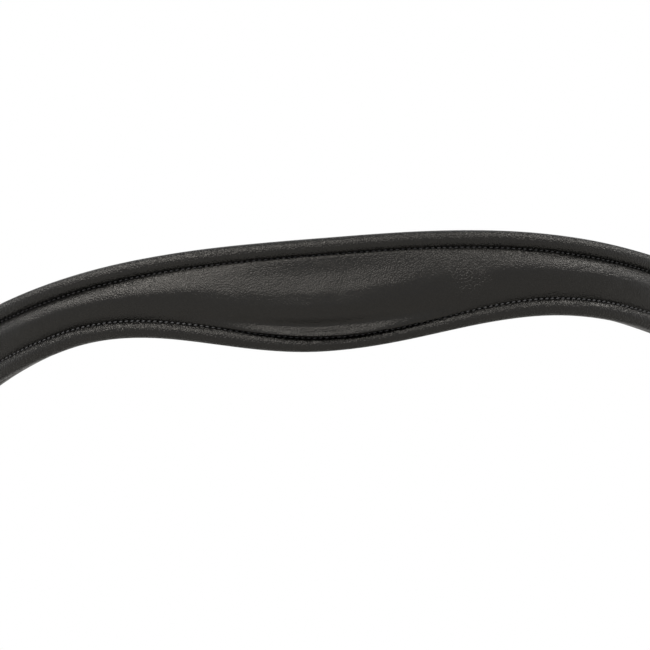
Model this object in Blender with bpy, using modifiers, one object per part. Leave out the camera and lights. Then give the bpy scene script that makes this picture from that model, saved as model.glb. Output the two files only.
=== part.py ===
"""Dressage bridle with a padded crown, browband and noseband, hung as it is worn.

Metres, +Z up, the front of the horse's head towards -Y. The origin is the middle of the
crown's padded underside, where the bridle rests on the poll.
"""
import math

import bmesh
import bpy
from mathutils import Matrix, Vector

# Clearances
GAP = 0.0003              # between pieces that touch
LOOP_SLACK = 0.0006       # between a leather loop and what it goes round

# Leather, nappa and foam
CROWN_LEATHER = 0.0035
BAND_LEATHER = 0.0025
STRAP_LEATHER = 0.0028
NAPPA = 0.0014
CROWN_FOAM = 0.006
EDGE_ROUNDING = 0.0006
BAND_EDGE = 0.0005
BAND_STATIONS = 28        # steps along a padded band
TURN_STEP = 0.002         # radians either side of a point, to find a band's direction

# Crown
CROWN_HALF_SPAN = 0.118
CROWN_FLAT = 0.010        # half length of the level stretch on the poll
CROWN_ARCH_DROP = 0.115
CROWN_ARCH_POWER = 2.5
CROWN_END_DROP = 0.198
CROWN_PAD_DROP = 0.132
CROWN_FRONT = -0.0225     # front edge at the sides
CROWN_REAR = 0.0273       # rear edge at the sides
CROWN_POLL_WIDENING = 0.005
CROWN_POLL_REACH = 0.075  # along the crown from the poll to where the widening ends
CROWN_EAR_CUT = 0.007
CROWN_EAR_RUN = 0.105     # along the crown from the poll to the ear cut's middle
CROWN_EAR_REACH = 0.05
CROWN_ROLL_RADIUS = 0.0027

# Browband
BROW_HALF_SPAN = CROWN_HALF_SPAN - 0.0014
BROW_DEPTH = 0.0965
BROW_PLAN_POWER = 2.3
BROW_LEVEL = -0.1485      # middle of the plain width at the front
BROW_WIDTH = 0.0215
BROW_CENTRE_DROP = 0.0126  # how far the lower edge bulges down at the centre
BROW_BULGE_RIGHT = 0.092  # how far the bulge runs out from the centre
BROW_BULGE_LEFT = 0.078
BROW_TAPER = 0.0125       # growth of the lower half width from left to right
BROW_FLARE = 0.0013       # widening of the lower edge towards the left end
BROW_FLARE_POWER = 8
BROW_ARCH_DROP = 0.0138   # fall of the band at BROW_ARCH_REACH from the centre
BROW_ARCH_REACH = 0.097
BROW_ARCH_POWER = 3.1
BROW_PAD_END = -0.040     # where the padding stops, in Y
BAND_ROLL_RADIUS = 0.0026
BAND_FOAM = 0.0026        # at the grooves
BAND_CROWN = 0.0022       # rise of the padding between the grooves

# Browband loops
LOOP_HEIGHT = 0.022
LOOP_WALL = 0.0022
LOOP_PLAY = 0.003         # room for the crown in the loop, front and rear
LOOP_CORNER = 0.001

# Noseband
NOSE_HALF_SPAN = 0.078
NOSE_DEPTH = 0.094
NOSE_PLAN_POWER = 2.4
NOSE_LEVEL = -0.388
NOSE_WIDTH = 0.028
NOSE_CENTRE_DROP = 0.014
NOSE_BULGE_HALF_LENGTH = 0.080
NOSE_PAD_END = -0.010
NOSE_STRAP_END = -0.004   # where the band's end turns towards its dee
NOSE_END_NARROWING = 0.001
NOSE_DEE_Y = 0.033
NOSE_TURN_IN = 0.0115     # how far the band's end runs back inside from the dee's bar

# Chin strap and pad
CHIN_WIDTH = 0.020
CHIN_CORNER_X = NOSE_HALF_SPAN * 0.436
CHIN_BACK_Y = 0.105
CHIN_CORNER_RADIUS = 0.014
CHIN_CORNER_CLEAR = 0.0014   # from the chin buckle's rail to the bend under the chin
CHIN_TIP_DROP = 0.040     # from the buckle's bar to the tip
CHIN_BACK_CLEAR = 0.006   # from CHIN_BACK_Y to the strap's middle under the chin
CHIN_SHORT_TAIL = 0.0145  # turned end of the short strap at the left dee
CHIN_LONG_TAIL = 0.0185   # turned end of the long strap at the right dee
CHIN_PAD_LENGTH = 0.048
CHIN_PAD_HEIGHT = 0.032
CHIN_PAD_DEPTH = 0.009
CHIN_PAD_RIM = 0.55       # of the half depth, at the cushion's rim

# Cheekpieces
CHEEK_WIDTH = 0.016
CHEEK_Y = -0.0140
CHEEK_BAR_DROP = 0.040    # from the billet's root to the buckle's bar
CHEEK_LENGTH = 0.215      # from the buckle's bar to the bottom of the bit loop
BIT_LOOP_RADIUS = 0.0085
BIT_LOOP_TURN = 200       # degrees the loop's curve goes round the ring
BIT_LOOP_STEPS = 10
BIT_LOOP_NECK = 0.012     # from the loop's centre up to where the strap is straight
BIT_TAIL = 0.062
STUD_RISE = 0.040         # hook stud above the bottom of the bit loop
STUD_HEAD = 0.0036        # radius
STUD_HEAD_HEIGHT = 0.0032
STUD_SHANK = 0.0016       # radius
STUD_SIDES = 12

# Noseband hanger
HANGER_WIDTH = 0.012
HANGER_Y = 0.0040
HANGER_TOP_DROP = 0.1335
HANGER_BEND_DROP = 0.276
HANGER_BAR_DROP = 0.315
HANGER_SLACK = 0.0018     # below the noseband in the loop
HANGER_FOLD = 0.010       # above the noseband, where the strap bends onto it
HANGER_TAIL = 0.004       # below the noseband's top, where the turned end stops

# Throatlatch
THROAT_WIDTH = 0.013
THROAT_Y = 0.0205
THROAT_BAR_DROP = 0.034
THROAT_STRAIGHT = 0.084
THROAT_DROP = 0.150
THROAT_POWER = 0.8        # of the curve under the throat, fuller than an ellipse below 1
THROAT_STEPS = 18

# Buckles, keepers and dees
BAR = 0.0028
BAR_EDGE = 0.0006
EYE_CLEAR = 0.0004
BUCKLE_RISE = 0.021       # from the bar to the top rail
BUCKLE_SIDE_CLEAR = 0.0008
TONGUE = 0.0022
KEEPER_HEIGHT = 0.007
KEEPER_WALL = 0.0016
KEEPER_DROP = 0.0145      # fixed keeper below the bar
RUNNER_DROP = 0.031       # sliding keeper below the bar
TIP_DROP = 0.050          # billet's tip below the bar
HOLE_RADIUS = 0.0020
HOLE_PITCH = 0.011
TONGUE_HOLE = 0.0031
USED_HOLE_RISE = 0.0062   # hole the tongue is in, above the bar
DEE_LENGTH = 0.015
DEE_ROD = 0.0028
DEE_CORNER = 0.003
BUCKLE_CORNER = 0.0014
KEEPER_CORNER = 0.0006
SMALL_EDGE = 0.0004       # bevel on keepers and tongues
SLOT_CLEAR = 0.0008       # beside the tongue in a strap's turned end
BIT_KEEPER_RISE = 0.013   # keeper above the hook stud

EYE_STEPS = 8             # points round a turned end
EYE_STEP_TURN = 26        # degrees from one to the next
EYE_NECK = 1.9            # in eye radii from the bar: where the turned end closes in
EYE_END = 2.7             # and where it lies flat

TONGUE_EYE = BAR * 0.625 + EYE_CLEAR
EYE_RADIUS = TONGUE_EYE + STRAP_LEATHER / 2   # middle of the leather round a bar
BILLET_OFFSET = STRAP_LEATHER + GAP           # from a strap's middle to the billet's

LEATHER = ((0.024, 0.023, 0.023), 0.45, 0.0)
SOFT_NAPPA = ((0.020, 0.020, 0.021), 0.55, 0.0)
FOAM = ((0.55, 0.53, 0.48), 0.9, 0.0)
STEEL = ((0.62, 0.62, 0.61), 0.22, 1.0)

X_AXIS = Vector((1, 0, 0))
Y_AXIS = Vector((0, 1, 0))


def clear_scene():
    for obj in list(bpy.data.objects):
        bpy.data.objects.remove(obj, do_unlink=True)
    for name in ("Dressage bridle", "Cutters"):
        group = bpy.data.collections.new(name)
        bpy.context.scene.collection.children.link(group)


def finish_object(name, data, look, place=None):
    """Puts a mesh or curve in the bridle's collection under its node name."""
    material = bpy.data.materials.new(name)
    material.use_nodes = True
    shader = material.node_tree.nodes["Principled BSDF"]
    shader.inputs["Base Color"].default_value = (*look[0], 1)
    shader.inputs["Roughness"].default_value = look[1]
    shader.inputs["Metallic"].default_value = look[2]
    obj = bpy.data.objects.new(name, data)
    obj.data.materials.append(material)
    bpy.data.collections["Dressage bridle"].objects.link(obj)
    if place is not None:
        obj.parent = place
    return obj


def axis_empty(name, matrix):
    """An empty on a joint's axis; the moving pieces are its children."""
    empty = bpy.data.objects.new(name, None)
    empty.matrix_world = matrix
    bpy.data.collections["Dressage bridle"].objects.link(empty)
    return empty


def frame_matrix(origin, outward, up):
    """Local X outward, Z up along a strap and Y across its width."""
    x = Vector(outward).normalized()
    z = Vector(up).normalized()
    y = z.cross(x).normalized()
    return Matrix.Translation(Vector(origin)) @ Matrix((x, y, z)).transposed().to_4x4()


def bell(value, reach):
    """1 at zero, falling smoothly to 0 at reach."""
    if abs(value) >= reach:
        return 0.0
    return math.cos(math.pi / 2 * value / reach) ** 2


def power(value, exponent):
    return math.copysign(abs(value) ** exponent, value)


def strip(name, rows, thickness, look, place=None, edge=EDGE_ROUNDING):
    """A flat strap: a grid laid through the rows of points, given its thickness."""
    across = len(rows[0]) - 1
    bm = bmesh.new()
    bmesh.ops.create_grid(bm, x_segments=across, y_segments=len(rows) - 1, size=1)
    bm.verts.ensure_lookup_table()
    for i, row in enumerate(rows):
        for j, point in enumerate(row):
            bm.verts[i * (across + 1) + j].co = point
    mesh = bpy.data.meshes.new(name)
    bm.to_mesh(mesh)
    bm.free()
    obj = finish_object(name, mesh, look, place)
    wall = obj.modifiers.new("Leather", "SOLIDIFY")
    wall.thickness = thickness
    wall.offset = 0
    wall.use_even_offset = True
    if edge:
        rounding = obj.modifiers.new("Edges", "BEVEL")
        rounding.width = edge
        rounding.segments = 1
        rounding.limit_method = "ANGLE"
        rounding.angle_limit = math.radians(50)
    return obj


def loft(name, rings, look, place=None):
    """A closed skin through rings of points, with flat ends."""
    bm = bmesh.new()
    loops = [[bm.verts.new(p) for p in ring] for ring in rings]
    count = len(rings[0])
    for a, b in zip(loops, loops[1:]):
        for k in range(count):
            bm.faces.new((a[k], a[(k + 1) % count], b[(k + 1) % count], b[k]))
    bm.faces.new(loops[0])
    bm.faces.new(loops[-1])
    bmesh.ops.recalc_face_normals(bm, faces=bm.faces)
    mesh = bpy.data.meshes.new(name)
    bm.to_mesh(mesh)
    bm.free()
    return finish_object(name, mesh, look, place)


def curve_mesh(obj):
    """Turns a curve object into a mesh object with welded caps."""
    graph = bpy.context.evaluated_depsgraph_get()
    mesh = bpy.data.meshes.new_from_object(obj.evaluated_get(graph))
    bm = bmesh.new()
    bm.from_mesh(mesh)
    bmesh.ops.remove_doubles(bm, verts=bm.verts, dist=0.00001)
    bmesh.ops.recalc_face_normals(bm, faces=bm.faces)
    bm.to_mesh(mesh)
    bm.free()
    name, place, local = obj.name, obj.parent, obj.matrix_local.copy()
    curve = obj.data
    group = obj.users_collection[0]
    bpy.data.objects.remove(obj, do_unlink=True)
    bpy.data.curves.remove(curve)
    solid = bpy.data.objects.new(name, mesh)
    group.objects.link(solid)
    solid.parent = place
    solid.matrix_local = local
    return solid


def tube(name, points, radius, look):
    """A round roll of leather along the points."""
    curve = bpy.data.curves.new(name, "CURVE")
    curve.dimensions = "3D"
    curve.bevel_depth = radius
    curve.bevel_resolution = 2
    curve.use_fill_caps = True
    spline = curve.splines.new("POLY")
    spline.points.add(len(points) - 1)
    for slot, point in zip(spline.points, points):
        slot.co = (*point, 1)
    return curve_mesh(finish_object(name, curve, look))


def rounded_outline(width, height, radius, steps=2):
    """Corner points of a rectangle with round corners, centred on zero."""
    points = []
    for quarter, (sx, sy) in enumerate(((1, 1), (-1, 1), (-1, -1), (1, -1))):
        for k in range(steps + 1):
            turn = math.pi / 2 * (quarter + k / steps)
            points.append((sx * (width / 2 - radius) + radius * math.cos(turn),
                           sy * (height / 2 - radius) + radius * math.sin(turn)))
    return points


def plate(name, outlines, thickness, look, place=None, turn=None, edge=0.0):
    """A flat piece cut from closed outlines, its thickness centred on its plane."""
    curve = bpy.data.curves.new(name, "CURVE")
    curve.dimensions = "2D"
    curve.fill_mode = "BOTH"
    curve.extrude = thickness / 2 - edge
    curve.bevel_depth = edge
    curve.bevel_resolution = 0
    curve.offset = -edge
    for outline in outlines:
        spline = curve.splines.new("POLY")
        spline.use_cyclic_u = True
        spline.points.add(len(outline) - 1)
        for slot, (x, y) in zip(spline.points, outline):
            slot.co = (x, y, 0, 1)
    obj = finish_object(name, curve, look, place)
    if turn is not None:
        obj.matrix_local = turn
    bpy.context.view_layer.update()
    return curve_mesh(obj)


def cutter(name, mesh, place):
    obj = bpy.data.objects.new(name, mesh)
    bpy.data.collections["Cutters"].objects.link(obj)
    obj.parent = place
    obj.hide_render = True
    obj.display_type = "WIRE"
    return obj


def cut(obj, tool):
    step = obj.modifiers.new(tool.name, "BOOLEAN")
    step.operation = "DIFFERENCE"
    step.object = tool


def box_mesh(name, low, high):
    bm = bmesh.new()
    bmesh.ops.create_cube(bm, size=1)
    for v in bm.verts:
        v.co = [low[k] if v.co[k] < 0 else high[k] for k in range(3)]
    mesh = bpy.data.meshes.new(name)
    bm.to_mesh(mesh)
    bm.free()
    return mesh


def punch_mesh(name, drops, centre_x, radius, stretch=1.0):
    """Round punches through a strap's thickness, one for each drop."""
    bm = bmesh.new()
    for drop in drops:
        turn = Matrix.Translation((centre_x, 0, -drop)) @ Matrix.Rotation(math.pi / 2, 4, "Y")
        turn = turn @ Matrix.Diagonal((stretch, 1, 1, 1))
        bmesh.ops.create_cone(bm, cap_ends=True, segments=8, radius1=radius,
                              radius2=radius, depth=STRAP_LEATHER * 1.6, matrix=turn)
    mesh = bpy.data.meshes.new(name)
    bm.to_mesh(mesh)
    bm.free()
    return mesh


def eye_path(tail):
    """A strap's turned end round a bar, in (X, Z), the strap coming from below.

    The strap's middle is X = 0 and the bar's centre is (-EYE_RADIUS, 0).
    """
    path = [(0.0, 0.0)]
    for k in range(1, 8):
        turn = math.radians(26 * k)
        path.append((-EYE_RADIUS + EYE_RADIUS * math.cos(turn), EYE_RADIUS * math.sin(turn)))
    path.append((-BILLET_OFFSET - STRAP_LEATHER * 0.55, -EYE_RADIUS * 1.9))
    path.append((-BILLET_OFFSET, -EYE_RADIUS * 2.7))
    path.append((-BILLET_OFFSET, -tail))
    return path


def path_rows(path, width):
    """Rows across a strap of one width whose middle follows (X, Z) points."""
    return [(Vector((x, -width / 2, z)), Vector((x, width / 2, z))) for x, z in path]


def round_end_rows(x, z, width, direction):
    """Rows of a half round end, from its tip to its full width."""
    rows = []
    for k in range(4):
        turn = math.pi / 2 * (k + 0.6) / 3.6
        half = width / 2 * math.sin(turn)
        level = z + direction * (width / 2 - width / 2 * (1 - math.cos(turn)))
        rows.append((Vector((x, -half, level)), Vector((x, half, level))))
    return rows


def crown_station(turn, drop=None):
    """Middle of the crown's leather and its outward normal.

    The turn runs from 0 on the poll to a quarter turn where the side hangs straight. A drop
    asks for the point that far down the straight side.
    """
    level = NAPPA + GAP + CROWN_FOAM + GAP + CROWN_LEATHER / 2
    if drop is not None:
        return Vector((CROWN_HALF_SPAN, 0, level - drop)), X_AXIS.copy()
    reach = CROWN_HALF_SPAN - CROWN_FLAT
    part = 2 / CROWN_ARCH_POWER
    s, c = math.sin(turn), math.cos(turn)
    x = CROWN_FLAT + reach * s ** part
    z = level - CROWN_ARCH_DROP * (1 - c ** part)
    steep = part * (CROWN_ARCH_POWER - 1)
    normal = Vector((s ** steep / reach, 0, c ** steep / CROWN_ARCH_DROP))
    return Vector((x, 0, z)), normal.normalized()


def crown_half(end_drop, steps=10):
    """Stations from the poll down one side, ending end_drop below the leather's top."""
    stations = [crown_station(math.pi / 2 * k / steps) for k in range(steps + 1)]
    stations[-1] = (stations[-1][0], X_AXIS.copy())
    stations.append(crown_station(0, (CROWN_ARCH_DROP + end_drop) / 2))
    stations.append(crown_station(0, end_drop))
    return stations


def crown_rows(end_drop, offset, inset):
    """Front and rear edge points of one crown layer, from the left end to the right."""
    half = crown_half(end_drop)
    rows = []
    run = 0.0
    previous = half[0][0]
    for point, normal in half:
        run += (point - previous).length
        previous = point
        wider = CROWN_POLL_WIDENING * bell(run, CROWN_POLL_REACH)
        ear_cut = CROWN_EAR_CUT * bell(run - CROWN_EAR_RUN, CROWN_EAR_REACH)
        front = CROWN_FRONT - wider + ear_cut + inset
        rear = CROWN_REAR + wider - inset
        at = point + normal * offset
        rows.append((Vector((at.x, front, at.z)), Vector((at.x, rear, at.z))))
    left = [tuple(Vector((-p.x, p.y, p.z)) for p in row) for row in reversed(rows)]
    return left + rows


def crown():
    """Crown leather over foam, with a nappa lining and a roll along each edge."""
    roll_room = 2 * CROWN_ROLL_RADIUS + GAP
    strip("crown_strap", crown_rows(CROWN_END_DROP, 0, 0), CROWN_LEATHER, LEATHER)
    foam_level = -(CROWN_LEATHER / 2 + GAP + CROWN_FOAM / 2)
    strip("crown_foam", crown_rows(CROWN_PAD_DROP, foam_level, roll_room), CROWN_FOAM, FOAM,
          edge=0)
    lining_level = -(CROWN_LEATHER / 2 + GAP + CROWN_FOAM + GAP + NAPPA / 2)
    strip("crown_lining", crown_rows(CROWN_PAD_DROP, lining_level, roll_room), NAPPA,
          SOFT_NAPPA, edge=0)
    roll_level = -(CROWN_LEATHER / 2 + GAP + CROWN_ROLL_RADIUS)
    rows = crown_rows(CROWN_PAD_DROP, roll_level, CROWN_ROLL_RADIUS)
    tube("crown_front_roll", [row[0] for row in rows], CROWN_ROLL_RADIUS, SOFT_NAPPA)
    tube("crown_rear_roll", [row[1] for row in rows], CROWN_ROLL_RADIUS, SOFT_NAPPA)


class Band:
    """A padded band round the front of the head, seen in plan as a rounded arch."""

    def __init__(self, half_span, depth, plan_power, level, width, bulge, bulge_reach):
        self.half_span = half_span
        self.depth = depth
        self.part = 2 / plan_power
        self.level = level
        self.width = width
        self.bulge = bulge
        self.bulge_reach = bulge_reach

    def middle(self, turn):
        x = self.half_span * power(math.sin(turn), self.part)
        y = -self.depth * math.cos(turn) ** self.part
        return Vector((x, y, self.level - self.fall(x)))

    def fall(self, x):
        return 0.0

    def turn_at(self, y):
        """The turn from the front at which the band has come back to y."""
        return math.acos((-y / self.depth) ** (1 / self.part))

    def station(self, turn):
        """Middle, outward normal, upward direction and the two half widths."""
        run = self.middle(turn + TURN_STEP) - self.middle(turn - TURN_STEP)
        outward = Vector((run.y, -run.x, 0)).normalized()
        upward = run.cross(outward).normalized()
        middle = self.middle(turn)
        lower = self.lower_half(middle.x)
        return middle, outward, -upward if upward.z < 0 else upward, self.width / 2, lower

    def lower_half(self, x):
        return self.width / 2 + self.bulge * bell(x, self.bulge_reach)

    def turns(self, end_y, count):
        """Turns from the left end to the right, evenly spread along the band's curve."""
        last = self.turn_at(end_y)
        return [last * (2 * k / count - 1) for k in range(count + 1)]

    def base_rows(self, end_y, count, inset=0.0):
        rows = []
        for turn in self.turns(end_y, count):
            middle, outward, upward, over, under = self.station(turn)
            rows.append((middle - upward * (under - inset), middle + upward * (over - inset)))
        return rows

    def pad(self, name, end_y, count):
        """Foam, nappa cover and edge rolls on the outside of the band's strap."""
        seat = BAND_LEATHER / 2 + GAP
        groove = 2 * BAND_ROLL_RADIUS + GAP
        foam, cover, upper, lower = [], [], [], []
        for turn in self.turns(end_y, count):
            middle, outward, upward, over, under = self.station(turn)
            top = middle + upward * (over - groove)
            low = middle - upward * (under - groove)
            foam_ring = [top + outward * seat, low + outward * seat]
            cover_row = []
            for k in range(5):
                share = k / 4
                rise = BAND_FOAM + BAND_CROWN * (1 - (2 * share - 1) ** 2)
                across = low.lerp(top, share)
                foam_ring.append(across + outward * (seat + rise))
                cover_row.append(across + outward * (seat + rise + GAP + NAPPA / 2))
            foam.append(foam_ring)
            cover.append(cover_row)
            lift = outward * (seat + BAND_ROLL_RADIUS)
            upper.append(middle + upward * (over - BAND_ROLL_RADIUS) + lift)
            lower.append(middle - upward * (under - BAND_ROLL_RADIUS) + lift)
        loft(name + "_foam", foam, FOAM)
        strip(name + "_cover", cover, NAPPA, SOFT_NAPPA, edge=0)
        tube(name + "_upper_roll", upper, BAND_ROLL_RADIUS, SOFT_NAPPA)
        tube(name + "_lower_roll", lower, BAND_ROLL_RADIUS, SOFT_NAPPA)


class Browband(Band):
    def fall(self, x):
        return BROW_ARCH_DROP * (abs(x) / BROW_ARCH_REACH) ** BROW_ARCH_POWER

    def lower_half(self, x):
        """The lower edge is cut a little fuller on the right than on the left."""
        reach = BROW_BULGE_RIGHT if x > 0 else BROW_BULGE_LEFT
        flare = BROW_FLARE * (max(0.0, -x) / BROW_ARCH_REACH) ** BROW_FLARE_POWER
        return self.width / 2 + BROW_TAPER * x + flare + self.bulge * bell(x, reach)


def browband():
    """The padded browband with a loop at each end that slides on the crown."""
    band = Browband(BROW_HALF_SPAN, BROW_DEPTH, BROW_PLAN_POWER, BROW_LEVEL, BROW_WIDTH,
                    BROW_CENTRE_DROP, BROW_BULGE_LEFT)
    loop_front = CROWN_FRONT - LOOP_PLAY - LOOP_WALL
    strip("browband_strap", band.base_rows(loop_front - BAND_LEATHER * 0.7, BAND_STATIONS),
          BAND_LEATHER, LEATHER, edge=BAND_EDGE)
    band.pad("browband", BROW_PAD_END, BAND_STATIONS)
    end_level = band.middle(band.turn_at(loop_front)).z
    inner_x = CROWN_LEATHER + GAP + STRAP_LEATHER + 2 * LOOP_SLACK
    inner_y = CROWN_REAR - CROWN_FRONT + 2 * LOOP_PLAY
    centre_x = CROWN_HALF_SPAN + CROWN_LEATHER / 2 + LOOP_SLACK - inner_x / 2
    centre_y = (CROWN_REAR + CROWN_FRONT) / 2
    outer = rounded_outline(inner_x + 2 * LOOP_WALL, inner_y + 2 * LOOP_WALL,
                            LOOP_WALL + LOOP_CORNER)
    inner = rounded_outline(inner_x, inner_y, LOOP_CORNER)
    for side, label in ((1, "right"), (-1, "left")):
        turn = Matrix.Translation((side * centre_x, centre_y, end_level))
        plate("browband_loop_" + label, (outer, inner), LOOP_HEIGHT, LEATHER, turn=turn,
              edge=BAND_EDGE)


def buckle_set(prefix, label, place, width):
    """Buckle, tongue and two keepers, hung at a strap's eye.

    The strap's middle plane is X = 0, the bar's centre (-EYE_RADIUS, 0, 0), and the billet
    comes down outside the strap.
    """
    inner_width = width + 2 * BUCKLE_SIDE_CLEAR
    rail_x = BILLET_OFFSET + STRAP_LEATHER / 2 + GAP + BAR * 0.62
    reach = math.hypot(BUCKLE_RISE, rail_x + EYE_RADIUS)
    lean = math.atan2(rail_x + EYE_RADIUS, BUCKLE_RISE)
    tilt = (Matrix.Translation((-EYE_RADIUS, 0, 0)) @ Matrix.Rotation(lean, 4, "Y")
            @ Matrix.Translation((0, 0, reach / 2)) @ Matrix.Rotation(math.pi / 2, 4, "Z")
            @ Matrix.Rotation(math.pi / 2, 4, "X"))
    outer = rounded_outline(inner_width + 2 * BAR, reach + BAR, 2 * BUCKLE_CORNER)
    inner = rounded_outline(inner_width, reach - BAR, BUCKLE_CORNER)
    plate(f"{prefix}_buckle_{label}", (outer, inner), BAR, STEEL, place, tilt, BAR_EDGE)

    tongue = tongue_outline(rail_x)
    flat = Matrix.Rotation(math.pi / 2, 4, "X")
    ring = [(-EYE_RADIUS + TONGUE_EYE * math.cos(math.tau * k / 10),
             TONGUE_EYE * math.sin(math.tau * k / 10)) for k in range(10)]
    plate(f"{prefix}_tongue_{label}", (tongue, ring), TONGUE, STEEL, place, flat,
          SMALL_EDGE)

    half_depth = BILLET_OFFSET + STRAP_LEATHER / 2
    for name, drop in (("fixed_keeper", KEEPER_DROP), ("sliding_keeper", RUNNER_DROP)):
        keeper(f"{prefix}_{name}_{label}", place, -half_depth, half_depth, width, -drop)


def keeper(name, place, inside, outside, width, level):
    """A leather loop round the layers that lie between two X levels."""
    depth = outside - inside + 2 * LOOP_SLACK
    across = width + 2 * LOOP_SLACK
    outer = rounded_outline(depth + 2 * KEEPER_WALL, across + 2 * KEEPER_WALL,
                            KEEPER_WALL + KEEPER_CORNER)
    inner = rounded_outline(depth, across, KEEPER_CORNER)
    turn = Matrix.Translation(((inside + outside) / 2, 0, level))
    plate(name, (outer, inner), KEEPER_HEIGHT, LEATHER, place, turn, SMALL_EDGE)


def tongue_outline(rail_x):
    """The tongue's edge in (X, Z): an eye round the bar and a cranked shank."""
    eye = TONGUE_EYE + TONGUE / 2
    half = TONGUE / 2
    rest = rail_x + BAR / 2 + GAP + half + 0.0004
    middle = [(-EYE_RADIUS + 0.0016, 0.0036), (0.0002, 0.0062), (0.0022, 0.0068),
              (0.0052, 0.0070), (rest - 0.0014, 0.0088), (rest, 0.0128),
              (rest, BUCKLE_RISE + 0.0012), (rest - 0.0004, BUCKLE_RISE + 0.0032)]
    left, right = [], []
    for k, (x, z) in enumerate(middle):
        a = middle[max(k - 1, 0)]
        b = middle[min(k + 1, len(middle) - 1)]
        run = Vector((b[0] - a[0], b[1] - a[1])).normalized()
        slim = half * (1.0 if k < len(middle) - 1 else 0.55)
        left.append((x - run.y * slim, z + run.x * slim))
        right.append((x + run.y * slim, z - run.x * slim))
    first, last = left[0], right[0]
    start = math.atan2(first[1], first[0] + EYE_RADIUS)
    stop = math.atan2(last[1], last[0] + EYE_RADIUS)
    around = []
    sweep = math.tau - (start - stop)
    for k in range(1, 10):
        turn = start + sweep * k / 10
        around.append((-EYE_RADIUS + eye * math.cos(turn), eye * math.sin(turn)))
    return right + left[::-1] + around


def buckled_strap(name, place, width, below, far_end=()):
    """The strap that carries a buckle: its eye, turned end and what follows below."""
    path = eye_path(KEEPER_DROP + KEEPER_HEIGHT)[::-1] + below
    rows = path_rows(path, width) + list(far_end)
    strap = strip(name, rows, STRAP_LEATHER, LEATHER, place)
    half = TONGUE / 2 + SLOT_CLEAR
    slot = box_mesh("slot", (-EYE_RADIUS * 2.6, -half, -EYE_RADIUS * 1.46),
                    (EYE_RADIUS, half, EYE_RADIUS * 2.4))
    cut(strap, cutter(name + "_slot", slot, place))
    return strap


def billet(name, place, width, rows, spare_holes=(1, 2, 3), tip_drop=TIP_DROP):
    """The plain end that comes down through a buckle, punched for its tongue."""
    rows = rows + round_end_rows(BILLET_OFFSET, -tip_drop + width / 2, width, -1)[::-1]
    strap = strip(name, rows, STRAP_LEATHER, LEATHER, place)
    used = punch_mesh("hole", (-USED_HOLE_RISE,), BILLET_OFFSET, TONGUE_HOLE)
    cut(strap, cutter(name + "_used_hole", used, place))
    drops = [HOLE_PITCH * k - USED_HOLE_RISE for k in spare_holes]
    spare = punch_mesh("holes", drops, BILLET_OFFSET, HOLE_RADIUS)
    cut(strap, cutter(name + "_spare_holes", spare, place))


def cheekpieces():
    """Each cheekpiece hangs from the crown's front billet and folds at its root."""
    root_level = crown_station(0, CROWN_END_DROP)[0].z
    for side, label in ((1, "right"), (-1, "left")):
        bar = (side * (CROWN_HALF_SPAN - BILLET_OFFSET), CHEEK_Y,
               root_level - GAP - CHEEK_BAR_DROP)
        place = axis_empty("cheek_axis_" + label,
                           frame_matrix(bar, (side, 0, 0), (0, 0, 1)))
        top = CHEEK_BAR_DROP
        rows = path_rows([(BILLET_OFFSET, top), (BILLET_OFFSET, top / 2),
                          (BILLET_OFFSET, -TIP_DROP + CHEEK_WIDTH)], CHEEK_WIDTH)
        billet("cheek_billet_" + label, place, CHEEK_WIDTH, rows)
        bottom = -CHEEK_LENGTH + BIT_LOOP_RADIUS + STRAP_LEATHER / 2
        below = [(0, -RUNNER_DROP), (0, bottom + BIT_TAIL), (0, bottom + BIT_LOOP_NECK)]
        for k in range(BIT_LOOP_STEPS + 1):
            turn = -math.radians(BIT_LOOP_TURN * k / BIT_LOOP_STEPS)
            below.append((-BIT_LOOP_RADIUS + BIT_LOOP_RADIUS * math.cos(turn),
                          bottom + BIT_LOOP_RADIUS * math.sin(turn)))
        below.append((-BILLET_OFFSET - BIT_LOOP_RADIUS * 0.35, bottom + 2 * BIT_LOOP_RADIUS))
        below.append((-BILLET_OFFSET, bottom + 2 * BIT_LOOP_NECK))
        below.append((-BILLET_OFFSET, bottom + BIT_TAIL))
        strap = buckled_strap("cheek_strap_" + label, place, CHEEK_WIDTH, below)
        buckle_set("cheek", label, place, CHEEK_WIDTH)
        stud_level = -CHEEK_LENGTH + STUD_RISE
        hook_stud("hook_stud_" + label, strap, place, stud_level)
        keeper("bit_keeper_" + label, place, -BILLET_OFFSET - STRAP_LEATHER / 2,
               STRAP_LEATHER / 2, CHEEK_WIDTH, stud_level + BIT_KEEPER_RISE)


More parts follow.
